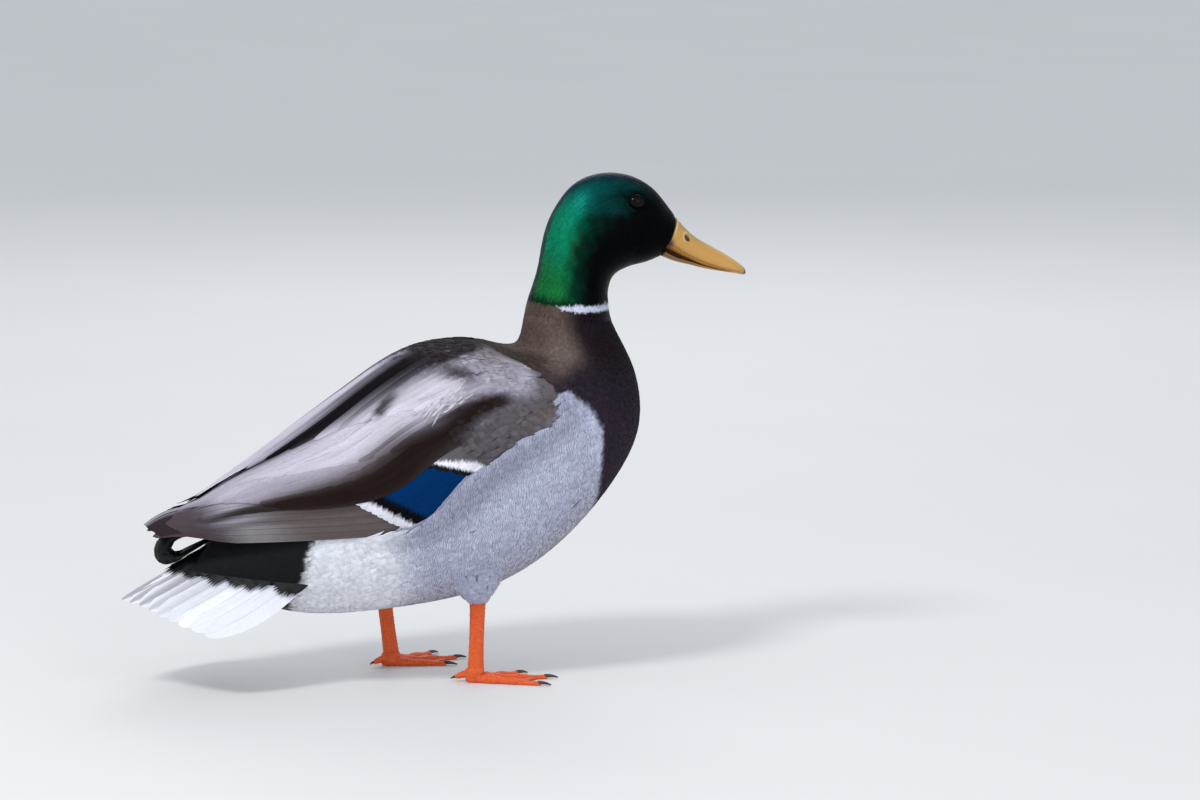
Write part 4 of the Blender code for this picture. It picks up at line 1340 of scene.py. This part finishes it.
# Long feathers of the wing: how many; root of the lowest and of the one nearest the
# back; tip of the lowest and of the one nearest the back, as station and share; half
# width; height over the bed at the tip, of the lowest and of the one nearest the back;
# how far the roots lie under that; bow towards the lower edge; bluntness.
LONG_WING = {
    "primaries": (7, (20.6, 0.98), (20.8, 0.66), (24.99, 0.88), (24.35, 0.30),
                  6.5, -1.9, -1.3, 0.8, 0.02, 5),
    "secondaries": (12, (18.9, 1.05), (18.9, 0.72), (21.12, 1.02), (21.47, 0.70),
                    6.4, -1.8, -1.7, 0.3, 0.0, 70),
    "greater": (13, (18.0, 0.99), (18.2, 0.70), (19.58, 1.03), (20.26, 0.70),
                5.8, -1.55, -1.45, 0.4, 0.0, 60),
    "tertials": (9, (18.0, 0.78), (18.0, 0.34), (22.6, 0.62), (24.25, 0.20),
                 9.0, -0.8, -0.2, 0.3, 0.01, 4),
    "scapulars": (11, (16.9, 0.66), (17.3, 0.34), (20.1, 0.62), (22.9, 0.28),
                  6.6, -0.2, 0.1, 1.0, 0.04, 3),
    "upper_scapulars": (8, (16.4, 0.58), (16.9, 0.32), (18.9, 0.56), (20.6, 0.32),
                        5.6, 0.1, 0.4, 1.2, 0.04, 3),
    "inner": (6, (17.0, 0.30), (16.9, 0.08), (20.3, 0.34), (22.6, 0.13),
              6.5, 0.3, 0.6, 1.2, 0.02, 3),
    "strip": (3, (17.8, 0.08), (17.8, 0.02), (22.8, 0.08), (23.8, 0.025),
              4.5, 0.6, 0.7, 1.2, 0.0, 3),
}
# Pieces of the wing: name; long feathers; small ones; finish; slot; nodes replaced.
WING_PIECES = (
    ("primary_feathers", ("primaries",), (), "quill", "primary_plumage", ("primaries", "wing_tip")),
    ("speculum_feathers", ("secondaries",), (), "speculum", "speculum_plumage", ("speculum",)),
    ("covert_feathers", ("greater",), ("lesser",), "wing", "wing_plumage", ("wing",)),
    ("tertial_feathers", ("tertials",), (), "scapular", "scapular_plumage", ("tertials",)),
    ("scapular_feathers", ("scapulars", "upper_scapulars", "inner", "strip"),
     ("mantle", "shoulder", "wisps"), "scapular", "scapular_plumage", ("scapulars",)),
)
BLUE = (0.0008, 0.030, 0.125)
BAR_BLACK = (0.004, 0.004, 0.006)
BAR_WHITE = (0.84, 0.84, 0.92)
# Where the vanes of the barred feathers are divided, closer together at their bars.
SECONDARY_ROWS = (0.05, 0.15, 0.3, 0.45, 0.6, 0.7, 0.78, 0.81, 0.83, 0.85, 0.87, 0.90, 0.93,
                  0.945, 0.96, 0.975, 0.99)
GREATER_ROWS = (0.06, 0.2, 0.4, 0.6, 0.68, 0.74, 0.78, 0.81, 0.84, 0.87, 0.90, 0.925, 0.94,
                0.955, 0.97, 0.985)
BARRED = {"secondaries": SECONDARY_ROWS, "greater": GREATER_ROWS}
OWN_PLACE = (0.15, 0.008)  # how far each takes its colour from beside its place
STATION_MM = 21.0  # length of a station near the blue patch
LONG_LAST = 0.985  # the last row of a long vane, as a share of its length
LONG_ROWS = tuple(LONG_LAST * ((i + 1) / 15) ** 0.85 for i in range(15))


def wing_small(number, tract, coat, side):
    """One tract of the wing's small feathers."""
    name, start, end, first, last, spacing, length, width, turn = tract
    rng = np.random.default_rng(SMALL_SEED + number + LEFT_SEED[side])
    s, t = scatter(wing_bed, (start, first), (end, last), spacing, lambda s, t, p: s > 0, rng)
    count = len(s)
    _, along, around, normal = wing_bed.frame(s, t)
    back = smooth(s, 15.8, 17.2)[:, None]
    way = unit(unit(along) * back + backwards(normal, 30 + 0 * s) * (1 - back))
    way = turned(way, normal, -rng.normal(turn, 0.13, count))
    long = length * rng.uniform(0.85, 1.15, count)
    ds, dt = solve(along, around, way * long[:, None])
    wisp = name == "wisps"
    roots = roots_of(
        s0=s, t0=t, s1=s + ds, t1=np.maximum(t + dt, 0.01),
        bow=np.abs(rng.normal(0, 0.01, count)), half=width / 2 * rng.uniform(0.9, 1.1, count),
        low=(-0.6 if wisp else -1.2) - 1.5 * fade(s, 15.1, 15.7),
        high=0.55 if wisp else 0.1, arch=0.15, lift=0.3 * rng.random(count),
        blunt=1.6 if wisp else 3.0, roll=rng.normal(0, 0.03, count), own=rng.random(count),
        long=long,
    )
    vane = Vane(4, 5, True)
    points, normals, on_s, on_t = grow(wing_bed, vane, roots)
    colour = wing_marking(0.15 * s[:, None] + 0.85 * on_s, 0.15 * t[:, None] + 0.85 * on_t)
    if wisp:
        colour = np.array(PALE)
    spread = 0.45 if name == "mantle" else 0.12
    colour = colour * np.exp(rng.normal(0, spread, count))[:, None, None]
    patches = tuft_patches(roots, vane, *SMALL_AREA)
    coat.add(vane, roots, points, normals, colour, patches, side=SIDES[side])


def bar_marking(name, short, share):
    """Colour of the secondaries and their coverts, by the distance short of their tips."""
    if name == "secondaries":
        black, white = fade(short, 7.2, 8.0), fade(short, 2.0, 2.5)
        return paint(BLUE, (black, BAR_BLACK), (white, BAR_WHITE))
    reach = 2.0 + 5.0 * smooth(share, 0.74, 0.94)
    black, white = fade(short, 1.7, 2.2), fade(short, reach, reach + 0.6)
    return paint(TAUPE, (white, BAR_WHITE), (black, BAR_BLACK))


def wing_long(name, coat, side, first_patch, total):
    """One row of long feathers, each a little away from its even place in the row."""
    number, a0, b0, a1, b1, half, low, high, sunk, bow, blunt = LONG_WING[name]
    rng = np.random.default_rng(LONG_SEED + len(name) + LEFT_SEED[side])
    f = np.linspace(0, 1, number)
    barred = name in BARRED
    jitter = rng.normal(0, 0.006, (2, number)) * (0.2 if barred else 1.0)

    def between(a, b):
        return a + (b - a) * f

    roots = roots_of(
        s0=between(a0[0], b0[0]), t0=between(a0[1], b0[1]),
        s1=between(a1[0], b1[0]) + jitter[0] * 3, t1=between(a1[1], b1[1]) + jitter[1],
        bow=bow, half=half * rng.uniform(0.95, 1.05, number), low=between(low, high) - sunk,
        high=between(low, high), arch=0.5, lift=0.25 * rng.random(number), blunt=blunt,
        roll=0.12, own=rng.random(number),
    )
    vane = Vane(BARRED.get(name, LONG_ROWS), 7, False, last=LONG_LAST)
    points, normals, on_s, on_t = grow(wing_bed, vane, roots, quill_outline, 0.25)
    roots["long"] = np.linalg.norm(points[:, -1] - points[:, 0], axis=-1)
    axis = roots["t0"][:, None] + (roots["t1"] - roots["t0"])[:, None] * vane.u
    own_t = on_t + 0.3 * (axis - on_t) * (not barred)
    own_t = own_t + rng.normal(0, OWN_PLACE[1], number)[:, None]
    own_s = on_s + rng.normal(0, OWN_PLACE[0], number)[:, None]
    colour = wing_marking(own_s, np.clip(own_t, 0, 1.1))
    if barred:
        slope = (b1[0] - a1[0]) / (b1[1] - a1[1])
        short = (a1[0] + slope * (on_t - a1[1]) - on_s) * STATION_MM
        colour = bar_marking(name, short, on_t)
    colour = colour * rng.uniform(0.92, 1.08, number)[:, None, None]
    patches = own_patches(vane, first_patch, number, total)
    coat.add(vane, roots, points, normals, colour, patches, side=SIDES[side])


def wing_core(side, materials):
    """The body of the folded wing under its feathers."""
    s, v = net(np.linspace(15.4, 24.9, 90), np.linspace(0.0, 1.0, 26))
    thick = wing_row(np.clip(s, WING_START, WING_END))[..., 3]
    past = smooth(s, WING_END, WING_END + 1)
    top = -(WING_DEPTH + 0.8 * fade(s, 15.4, 16.2)) * (1 - past) - 0.9 * past
    under = np.minimum(top - 0.5, -(thick - 0.2) * (1 - past) - 1.5 * past)
    colour = wing_marking(s, v)
    shells = Shells()
    # The wing's markings at 0.6: painted shade under its feathers.
    shells.slab(wing_bed.place(s, v, top), wing_bed.place(s, v, under), colour * 0.6)
    shells.build(f"wing_core_{side}", materials["skin"], "wing_plumage", mirrored=side == "right")


def build_wing(side, materials):
    """The folded wing and the shoulder feathers over it, piece by piece."""
    wing_core(side, materials)
    small = {row[0]: (i, row) for i, row in enumerate(SMALL_WING)}
    for name, long, short, finish, slot, replaced in WING_PIECES:
        coat = Coat()
        total = sum(LONG_WING[key][0] for key in long)
        first = 0
        for key in long:
            wing_long(key, coat, side, first, total)
            first += LONG_WING[key][0]
        for key in short:
            wing_small(*small[key], coat, side)
        nodes = [f"{node}_{side}" for node in replaced]
        coat.build(f"{name}_{side}", materials[finish], slot, nodes)


# ---------------------------------------------------------------- tail

TAIL_GREY = (0.20, 0.185, 0.19)
GOLDEN_ANGLE = 2.399  # spreads the curl's feathers evenly round their core


def build_tail(materials):
    """The fan of white-edged feathers."""
    rng = np.random.default_rng(TAIL_SEED)
    count = TAIL_FEATHERS
    x = (np.arange(count) - (count - 1) / 2) / (count / 2)
    part = np.abs(x)
    roots = roots_of(
        s0=x * 0 - 0.02, t0=x * 0.96, s1=1.0 - 0.03 * rng.random(count), t1=x,
        half=9.6 + 0.8 * part, low=0.5 - 1.0 * part, high=0.5 - 1.0 * part, arch=0.3,
        lift=0.3 * rng.random(count), blunt=4.0, roll=0.30 * np.sign(x), own=rng.random(count),
    )
    vane = Vane(LONG_ROWS, 9, False, last=LONG_LAST)
    points, normals, _, _ = grow(tail_bed, vane, roots, quill_outline, 0.15)
    roots["long"] = np.linalg.norm(points[:, -1] - points[:, 0], axis=-1)
    centre = fade(np.abs(vane.c[None]), 0.15, 0.75) * fade(part, 0.2, 0.7)[:, None]
    colour = paint(WHITE, (0.7 * centre, TAIL_GREY))
    coat = Coat()
    coat.add(vane, roots, points, normals, colour, own_patches(vane, 0, count, count))
    coat.build("tail_feathers", materials["tail"], "tail_plumage", ["tail"])


def build_tail_coverts(materials):
    """The black feathers over and under the root of the fan."""
    coat = Coat()
    under_bed = Bed(lambda along, share: tail_spot(along, -share))
    for number, (bed, reach) in enumerate(((tail_bed, 0.34), (under_bed, 0.22))):
        rng = np.random.default_rng(COVERT_SEED + number)

        def keep(s, t, point, reach=reach):
            return s < reach - 0.42 * np.abs(t) ** 1.5

        s, t = scatter(bed, (-0.12, -1.0), (reach, 1.0), 4.2, keep, rng)
        count = len(s)
        roots = roots_of(
            s0=s, t0=t, s1=s + rng.uniform(0.26, 0.34, count), t1=t * 1.02,
            bow=rng.normal(0, 0.01, count), half=rng.uniform(4.6, 6.0, count), low=1.0,
            high=2.1 + rng.uniform(0, 0.5, count), arch=0.35, lift=0.4 * rng.random(count),
            blunt=3.5, roll=0.2 * t, own=rng.random(count), long=24.0,
        )
        vane = Vane(8, 7, True)
        points, normals, _, _ = grow(bed, vane, roots)
        colour = np.array(STERN) * rng.uniform(0.8, 1.3, count)[:, None, None]
        patches = tuft_patches(roots, vane, (-0.15, -1.1 - 2.2 * number), (0.5, 3.3 - 2.2 * number))
        coat.add(vane, roots, points, normals, colour, patches)
    coat.build("tail_coverts", materials["black"], "rump_plumage")


def build_curl(materials):
    """The drake's black feathers that curl up and forward over the tail: narrow vanes
    laid lengthways round a bent core that thins out to their tips."""
    knots = np.arange(len(CURL_OUTER))
    outer, inner = natural_spline(knots, CURL_OUTER), natural_spline(knots, CURL_INNER)

    def spot(k, turn):
        out, back = outer(k), inner(k)
        share = 0.42 - 0.55 * np.cos(turn)
        line = back + (out - back) * share[..., None]
        half = np.interp(k, knots, CURL_HALF_WIDTH)
        return np.stack([line[..., 0], half * np.sin(turn), line[..., 1]], -1)

    bed = Bed(spot)
    shells = Shells()
    k, turn = net(np.linspace(0, 8.4, 90), circle(32))
    shells.tube(bed.place(k, turn, -0.9), STERN)
    shells.build("curl_core", materials["skin"], "rump_plumage")
    rng = np.random.default_rng(CURL_SEED)
    count = CURL_FEATHERS
    turn = np.arange(count) * GOLDEN_ANGLE
    start = np.linspace(-0.2, 5.6, count)
    roots = roots_of(
        s0=start, t0=turn, s1=np.minimum(start + rng.uniform(3.2, 4.2, count), 9.0),
        t1=turn + rng.normal(0, 0.12, count), half=rng.uniform(2.0, 2.8, count), low=-0.8,
        high=0.2, arch=0.25, lift=0.3 * rng.random(count), blunt=3.0, own=rng.random(count),
        long=30.0,
    )
    vane = Vane(14, 5, True)
    points, normals, _, _ = grow(bed, vane, roots)
    coat = Coat()
    coat.add(vane, roots, points, normals, STERN, own_patches(vane, 0, count, count))
    coat.build("curled_feathers", materials["black"], "rump_plumage", ["tail_curl"])


# ---------------------------------------------------------------- bill and eyes

HORN_YELLOW = np.array((0.54, 0.285, 0.060))
HORN_RIDGE = np.array((0.30, 0.225, 0.060))
HORN_EDGE = np.array((0.62, 0.225, 0.045))
HORN_PALE = np.array((0.72, 0.56, 0.27))
HORN_DARK = np.array((0.010, 0.008, 0.007))
GAPE = np.array((0.24, 0.105, 0.020))
GAPE_BLUE = np.array((0.020, 0.024, 0.055))
NOSTRIL = (1.22, 0.92)  # station and angle from the ridge
NAIL = 5.9
EYE_BROWN = (0.01, 0.006, 0.004)
CLOSED_BY = 1.0  # how far each half comes towards the other to close the mouth, mm


def bill_detail(s, angle):
    """Relief and colour of the upper half of the bill."""
    side = np.abs(angle)
    on_s, on_side = s - NOSTRIL[0], side - NOSTRIL[1]
    pit = np.exp(-(((on_s / 0.26) ** 2 + (on_side / 0.17) ** 2) ** 2))
    rim = np.exp(-((np.hypot(on_s / 0.34, on_side / 0.30) - 1) / 0.22) ** 2) * smooth(-on_s, 0.0, 0.25)
    groove = np.exp(-(((side - 1.95) / 0.07) ** 2)) * smooth(s, 0.2, 0.8)
    nail = smooth(s, NAIL, NAIL + 0.25) * fade(side, 0.55, 0.75)
    fold = np.exp(-(((s - 0.42 - 0.25 * np.cos(2 * side)) / 0.08) ** 2))
    relief = -1.1 * pit + 0.16 * rim - 0.18 * groove + 0.22 * nail - 0.14 * fold
    colour = paint(
        HORN_YELLOW,
        (0.8 * fade(side, 0.30, 1.0) * fade(s, 1.2, 3.8), HORN_RIDGE),
        (0.7 * smooth(side, 1.9, 2.4), HORN_EDGE),
        (0.8 * fade(s, 0.06, 0.22) * fade(side, 1.1, 1.5), HORN_PALE),
        (0.75 * rim * (1 - pit), HORN_PALE),
        # Painted shade: the nostril's shallow pit is dark as its hole would be.
        (smooth(pit, 0.25, 0.6), HORN_DARK),
        (0.85 * spot_of(s, side, (0.08, 2.0), (0.34, 0.40)), GAPE_BLUE),
        # Painted shade darkening the groove along the side.
        (0.30 * groove, HORN_DARK),
        (smooth(s + 0.10 * side, 6.1, 6.35), HORN_DARK),
    )
    return relief, colour


def bill_half(stations, detail, shift, name, finish, replaced, inside=None):
    """One half of the bill: a loft with its relief, moved to close the mouth."""
    columns = by_row(stations)
    bed = Bed(lambda s, angle: loft_point(columns, s, -angle))
    last = len(stations) - 1
    s, angle = net(np.linspace(0.0, last, 130), circle(96, -math.pi))
    relief, colour = detail(s, angle)
    points = bed.place(s, angle, relief - 0.25 * (s > last - 0.02))
    points[..., 2] += shift(s, np.abs(angle))
    shells = Shells()
    shells.tube(points, colour.reshape(-1, 3))
    if inside is not None:
        # Painted shade: the inside of the closed mouth is horn-dark.
        shells.tube(inside, HORN_DARK)
    shells.build(name, finish, "bill_horn", [replaced])


def under_detail(s, angle):
    """Relief and colour of the lower half of the bill: ribs along its edge."""
    side = np.abs(angle)
    ribs = 0.10 * np.sin(s * 38) * np.exp(-(((side - 1.2) / 0.25) ** 2))
    # dark: the top of the lower half, inside the closed bill, painted as shade.
    yellow, dark = smooth(s, 1.8, 3.5), fade(side, 0.7, 1.1)
    return ribs, paint(GAPE, (yellow, HORN_YELLOW * 0.8), (dark, HORN_DARK))


def mouth_shell():
    """A dark shell inside the closed bill, painted shade seen as a line between its halves."""
    s, turn = net(np.linspace(0.1, 3.2, 60), circle(32))
    row = by_row(LOWER_BILL)(s)
    x = row[..., 0] + 0.35 * np.cos(turn)
    y = (row[..., 4] - 0.35 - 0.5 * s) * np.sin(turn)
    z = row[..., 1] + 0.7 * smooth(s, 0.8, 2.4) + 0.3 + 1.2 * np.cos(turn)
    return np.stack([x, y, z], -1)


def edge_down(s, side):
    """How far the upper half's edge comes down over the lower one."""
    return -CLOSED_BY * smooth(s, 1.4, 3.0) * smooth(side, 1.8, 2.6) * fade(s, 6.0, 7.0)


def tucked_up(s, side):
    """How far the lower half is lifted into the upper one."""
    return CLOSED_BY * smooth(s, 0.8, 2.4) + 0 * side


def build_bill(materials):
    horn = materials["bill"]
    bill_half(UPPER_BILL, bill_detail, edge_down, "bill_top", horn, "bill_upper")
    bill_half(LOWER_BILL, under_detail, tucked_up, "bill_under", horn, "bill_lower", mouth_shell())


def build_eyes(materials):
    """Eyeballs with a slight bulge of the cornea."""
    for side, sign in SIDES.items():
        t, turn = net(np.linspace(0, math.pi, 50), circle(64))
        t = np.clip(t, 0.015, math.pi - 0.015)
        radius = EYE_RADIUS * (1 + 0.05 * np.exp(-((t / 0.55) ** 2)))
        x, z = radius * np.sin(t) * np.cos(turn), radius * np.sin(t) * np.sin(turn)
        y, z = radius * np.cos(t) * EYE_STRETCH[1], z * EYE_STRETCH[2]
        grid = np.stack([EYE_PLACE[0] + x, EYE_PLACE[1] + y, EYE_PLACE[2] + z], -1)
        shells = Shells()
        shells.tube(grid[::-1], EYE_BROWN)
        shells.build(f"eyeball_{side}", materials["eye"], "eye_surface", [f"eye_{side}"],
                     mirrored=sign < 0)


# ---------------------------------------------------------------- legs

LEG_ORANGE = np.array((0.92, 0.135, 0.018))
WEB_ORANGE = np.array((0.80, 0.100, 0.014))
BONE = 0.96  # a bare shank's size between its swellings, as a share of the solid's
UP = np.array([0, 0, 1.0])
CLAW_BLACK = (0.03, 0.02, 0.018)
SCUTE = 2.4  # length of a scale on the toes and the front of the shank, mm


def saw(x):
    """Overlapping scales: a slow rise and a quick fall in each unit."""
    part = x - np.floor(x)
    return smooth(part, 0.0, 0.75) * fade(part, 0.80, 1.0)


def shank(leg):
    """The bare leg from the thigh's feathers to the foot, with scales down its front."""
    slope = math.tan(math.radians(leg["lean"]))
    bottom = FOOT_HEIGHT - INTO_FOOT
    t, angle = net(np.linspace(0, 1, 120), circle(40))
    z = bottom + t * (SHANK_TOP + 3 - bottom)
    swell = 1 + 0.22 * (1 - t) ** 4 + 0.16 * t**3
    front = np.clip(np.cos(angle), 0, 1) ** 0.7
    scale = 1 + 0.055 * saw(-z / SCUTE) * front + 0.02 * np.sin(angle * 8 + z * 1.3) * (1 - front)
    around = np.minimum(angle, math.tau - angle)
    scale = scale - 0.13 * np.exp(-(((around - 1.85) / 0.30) ** 2)) * smooth(1 - t, 0.0, 0.3)
    x = leg["x"] + slope * (z - bottom) + SHANK_LENGTHWAYS * BONE * swell * scale * np.cos(angle)
    y = leg["y"] + SHANK_ACROSS * BONE * swell * scale * np.sin(angle)
    return np.stack([x, y, z], -1)[:, ::-1]


def outwards(leg):
    return math.copysign(1, leg["y"])


def heel_of(leg):
    """Where the toes meet, on the ground."""
    return np.array([leg["x"] - HEEL_BACK, leg["y"], 0.0])


def toe_way(leg, away):
    """The way a toe points, for its angle away from the foot's middle, outwards."""
    angle = math.radians(leg["turn"] + outwards(leg) * away)
    return np.array([math.cos(angle), math.sin(angle), 0.0])


def toe(leg, away, length):
    """A toe with plates over it, pads under its joints and a flat sole."""
    way = toe_way(leg, away)
    aside = np.array([-way[1], way[0], 0.0])
    t, angle = net(np.linspace(0, 1, 110), circle(32))
    swell = 1 + 0.09 * np.cos(3 * math.tau * t)
    plates = saw(t * length / SCUTE) * np.clip(np.sin(angle), 0, 1)
    half = (3.1 - 1.5 * t) * swell * (1 + 0.03 * plates)
    high = (6.1 - 3.7 * t**0.8) * swell * (1 + 0.07 * plates)
    across = half * np.cos(angle)
    sole = 0.02 + 0.001 * (away + 30)  # not quite level with the next toe's
    up = np.clip(high * (0.42 + 0.56 * np.sin(angle)), sole, None)
    end = np.clip((t - 0.93) / 0.07, 0, 1)[..., None]
    around = np.stack([across, up], -1) * np.sqrt(1 - 0.75 * end**2)
    middle = heel_of(leg) + way * (length * t)[..., None]
    return (middle + aside * around[..., :1] + UP * around[..., 1:])[:, ::-1]


def web(leg, first, second):
    """The web between two toes: thin, lightly ribbed, with a hollowed front edge."""
    heel = heel_of(leg)
    part, share = net(np.linspace(0, 1, 44), np.linspace(0, 1, 40))
    away = first[1] + (second[1] - first[1]) * share
    length = first[2] + (second[2] - first[2]) * share
    reach = 6 + (length * (0.93 - 0.17 * np.sin(math.pi * share)) - 6) * part
    angle = np.radians(leg["turn"] + outwards(leg) * away)
    ribs = 0.25 * np.sin(share * math.pi * 5 + part * 3)
    ripple = 0.22 * np.sin(part * 34 + 3 * np.sin(share * 9)) + ribs
    beside_toes = 0.9 * np.abs(share - 0.5) ** 2 * 4 * (1 - 0.5 * part)
    thin = 0.45 * smooth(part, 0.93, 1.0) * 0.5
    x = heel[0] + np.cos(angle) * reach
    y = heel[1] + np.sin(angle) * reach
    over = np.stack([x, y, 1.45 + beside_toes + ripple * 0.55 - thin], -1)
    under = np.stack([x, y, 0.55 + 0.15 * np.abs(ripple)], -1)
    return (over, under) if outwards(leg) > 0 else (over[:, ::-1], under[:, ::-1])


def hallux(leg):
    """Where the hind toe starts, and the way it points: back, inwards and down."""
    inwards = -outwards(leg)
    start = np.array([leg["x"] - 2.5, leg["y"] + inwards, 5.8])
    return start, unit(np.array([-0.85, 0.20 * inwards, -0.26]))


def round_tube(path, radii, count=20):
    """Rings about a path, whose radii are given at each point."""
    path, radii = np.asarray(path, float), np.asarray(radii, float)
    ahead = unit(np.gradient(path, axis=0))
    aside = unit(np.cross(ahead, (0, 0, 1.0)))
    up = np.cross(aside, ahead)
    angle = circle(count)[None, :, None]
    ring = aside[:, None] * np.cos(angle) + up[:, None] * np.sin(angle)
    return (path[:, None] + ring * radii[:, None, None])[:, ::-1]


def build_leg(side, leg, materials):
    """Shank, heel, three webbed toes and the hind toe as one skin."""
    shells = Shells()
    shells.tube(shank(leg), LEG_ORANGE)
    t, angle = net(np.linspace(0, 1, 24), circle(36))
    round_it = np.sqrt(np.clip(1 - (2 * t - 1) ** 4, 0.02, 1))
    heel = np.stack([
        leg["x"] - 0.5 + 5.9 * round_it * np.cos(angle), leg["y"] + 4.9 * round_it * np.sin(angle),
        0.4 + 9.0 * t,
    ], -1)[:, ::-1]
    shells.tube(heel, LEG_ORANGE * 0.95)
    for _, away, length in TOES:
        shells.tube(toe(leg, away, length), LEG_ORANGE)
    for first, second in zip(TOES, TOES[1:]):
        shells.slab(*web(leg, first, second), WEB_ORANGE)
    start, way = hallux(leg)
    steps = np.linspace(0, 1, 26)
    path = start + way * HALLUX_LENGTH * steps[:, None]
    radii = (2.3 - 0.9 * steps**1.5) * (1 + 0.06 * saw(steps * 5)) * np.sqrt(1 - 0.8 * steps**12)
    shells.tube(round_tube(path, radii), LEG_ORANGE)
    shells.build(f"leg_{side}", materials["leg"], "leg_skin", [f"shank_{side}", f"foot_{side}"])


def build_claws(side, leg, materials):
    """Blunt curved claws in the ends of the toes."""
    steps = np.linspace(0, 1, 16)
    for name, away, length in TOES:
        way = toe_way(leg, away)
        reach = length - 1.5 + (CLAW_LENGTH + 1.6) * steps
        rise = 1.75 + 0.25 * np.sin(math.pi * steps) - 1.05 * steps**2
        path = heel_of(leg) + way * reach[:, None] + UP * rise[:, None]
        claw(f"nail_{side}_{name}", path, 1.25, materials, f"claw_{side}_{name}")
    start, way = hallux(leg)
    path = start + way * (HALLUX_LENGTH - 1.0 + 3.6 * steps)[:, None]
    path[:, 2] += 0.25 * np.sin(math.pi * steps) - 0.2 * steps**2
    claw(f"nail_{side}_hind", path, 0.95, materials, f"claw_{side}_hind")


def claw(name, path, radius, materials, replaced):
    """One claw, which thins out along its path."""
    steps = np.linspace(0, 1, len(path))
    radii = radius * (1 - 0.72 * steps**1.4)
    shells = Shells()
    shells.tube(round_tube(path, radii, 16), CLAW_BLACK)
    shells.build(name, materials["claw"], "claw_horn", [replaced])


# ---------------------------------------------------------------- studio

VIEW_AZIMUTH, VIEW_ELEVATION = math.radians(-14), math.radians(8)
VIEW_DISTANCE = 3.0
VIEW_AIM = (0.0978, 0.164)  # along the view's right and up, m
LENS = 150.0
FLOOR_HALF = 20.0
SKY, SKY_STRENGTH = (0.86, 0.92, 1.0, 1), 0.80
LIT_MIDDLE = Vector((0.0, 0.0, 0.17))
# Name, place and diameter in metres, and watts.
LIGHTS = (
    ("key", (-1.0, -0.9, 1.8), 0.5, 20.0),
    ("fill", (0.9, -2.2, 1.1), 1.6, 7.0),
    ("back", (0.6, 1.9, 1.5), 1.4, 9.0),
)


def studio():
    """A pale floor, a soft key from the upper left, a wide fill and an even sky."""
    scene = bpy.context.scene
    mesh = bpy.data.meshes.new("floor")
    far = FLOOR_HALF
    mesh.from_pydata([(-far, -far, 0), (far, -far, 0), (far, far, 0), (-far, far, 0)], [],
                     [(0, 1, 2, 3)])
    floor = in_scene("floor", mesh)
    shader = Shader("floor_paint", 0.75)
    mottle = shader.noise(shader.node("TexCoord").outputs["Object"], 3.0, 3.0)
    shader.finish(shader.mix(mottle, (0.70, 0.69, 0.675), (0.74, 0.73, 0.715)))
    mesh.materials.append(shader.material)
    world = bpy.data.worlds.new("studio")
    world.use_nodes = True
    sky = world.node_tree.nodes["Background"]
    sky.inputs["Color"].default_value = SKY
    sky.inputs["Strength"].default_value = SKY_STRENGTH
    scene.world = world
    scene.view_settings.view_transform = "Standard"
    for name, place, size, watts in LIGHTS:
        light = bpy.data.lights.new(name, "AREA")
        light.shape, light.size = "DISK", size
        light.energy = watts
        lamp = in_scene(name, light)
        lamp.location = place
        lamp.rotation_euler = (LIT_MIDDLE - Vector(place)).to_track_quat("-Z", "Y").to_euler()


def place_camera():
    """The photo's view, from the duck's right and a little above."""
    a, e = VIEW_AZIMUTH, VIEW_ELEVATION
    back = Vector((math.sin(a) * math.cos(e), -math.cos(a) * math.cos(e), math.sin(e)))
    right = Vector((math.cos(a), math.sin(a), 0))
    up = back.cross(right)
    data = bpy.data.cameras.new("camera")
    data.lens, data.sensor_width = LENS, 36.0
    data.clip_end = 100.0
    camera = in_scene("camera", data)
    camera.location = right * VIEW_AIM[0] + up * VIEW_AIM[1] + back * VIEW_DISTANCE
    camera.rotation_euler = back.to_track_quat("Z", "Y").to_euler()
    bpy.context.scene.camera = camera


def main():
    place_camera()
    studio()
    materials = make_materials()
    build_skin(materials)
    grow_body(materials)
    grow_thighs(materials)
    for side in SIDES:
        build_wing(side, materials)
    build_tail(materials)
    build_tail_coverts(materials)
    build_curl(materials)
    build_bill(materials)
    build_eyes(materials)
    for side, leg in LEGS.items():
        build_leg(side, leg, materials)
        build_claws(side, leg, materials)


main()
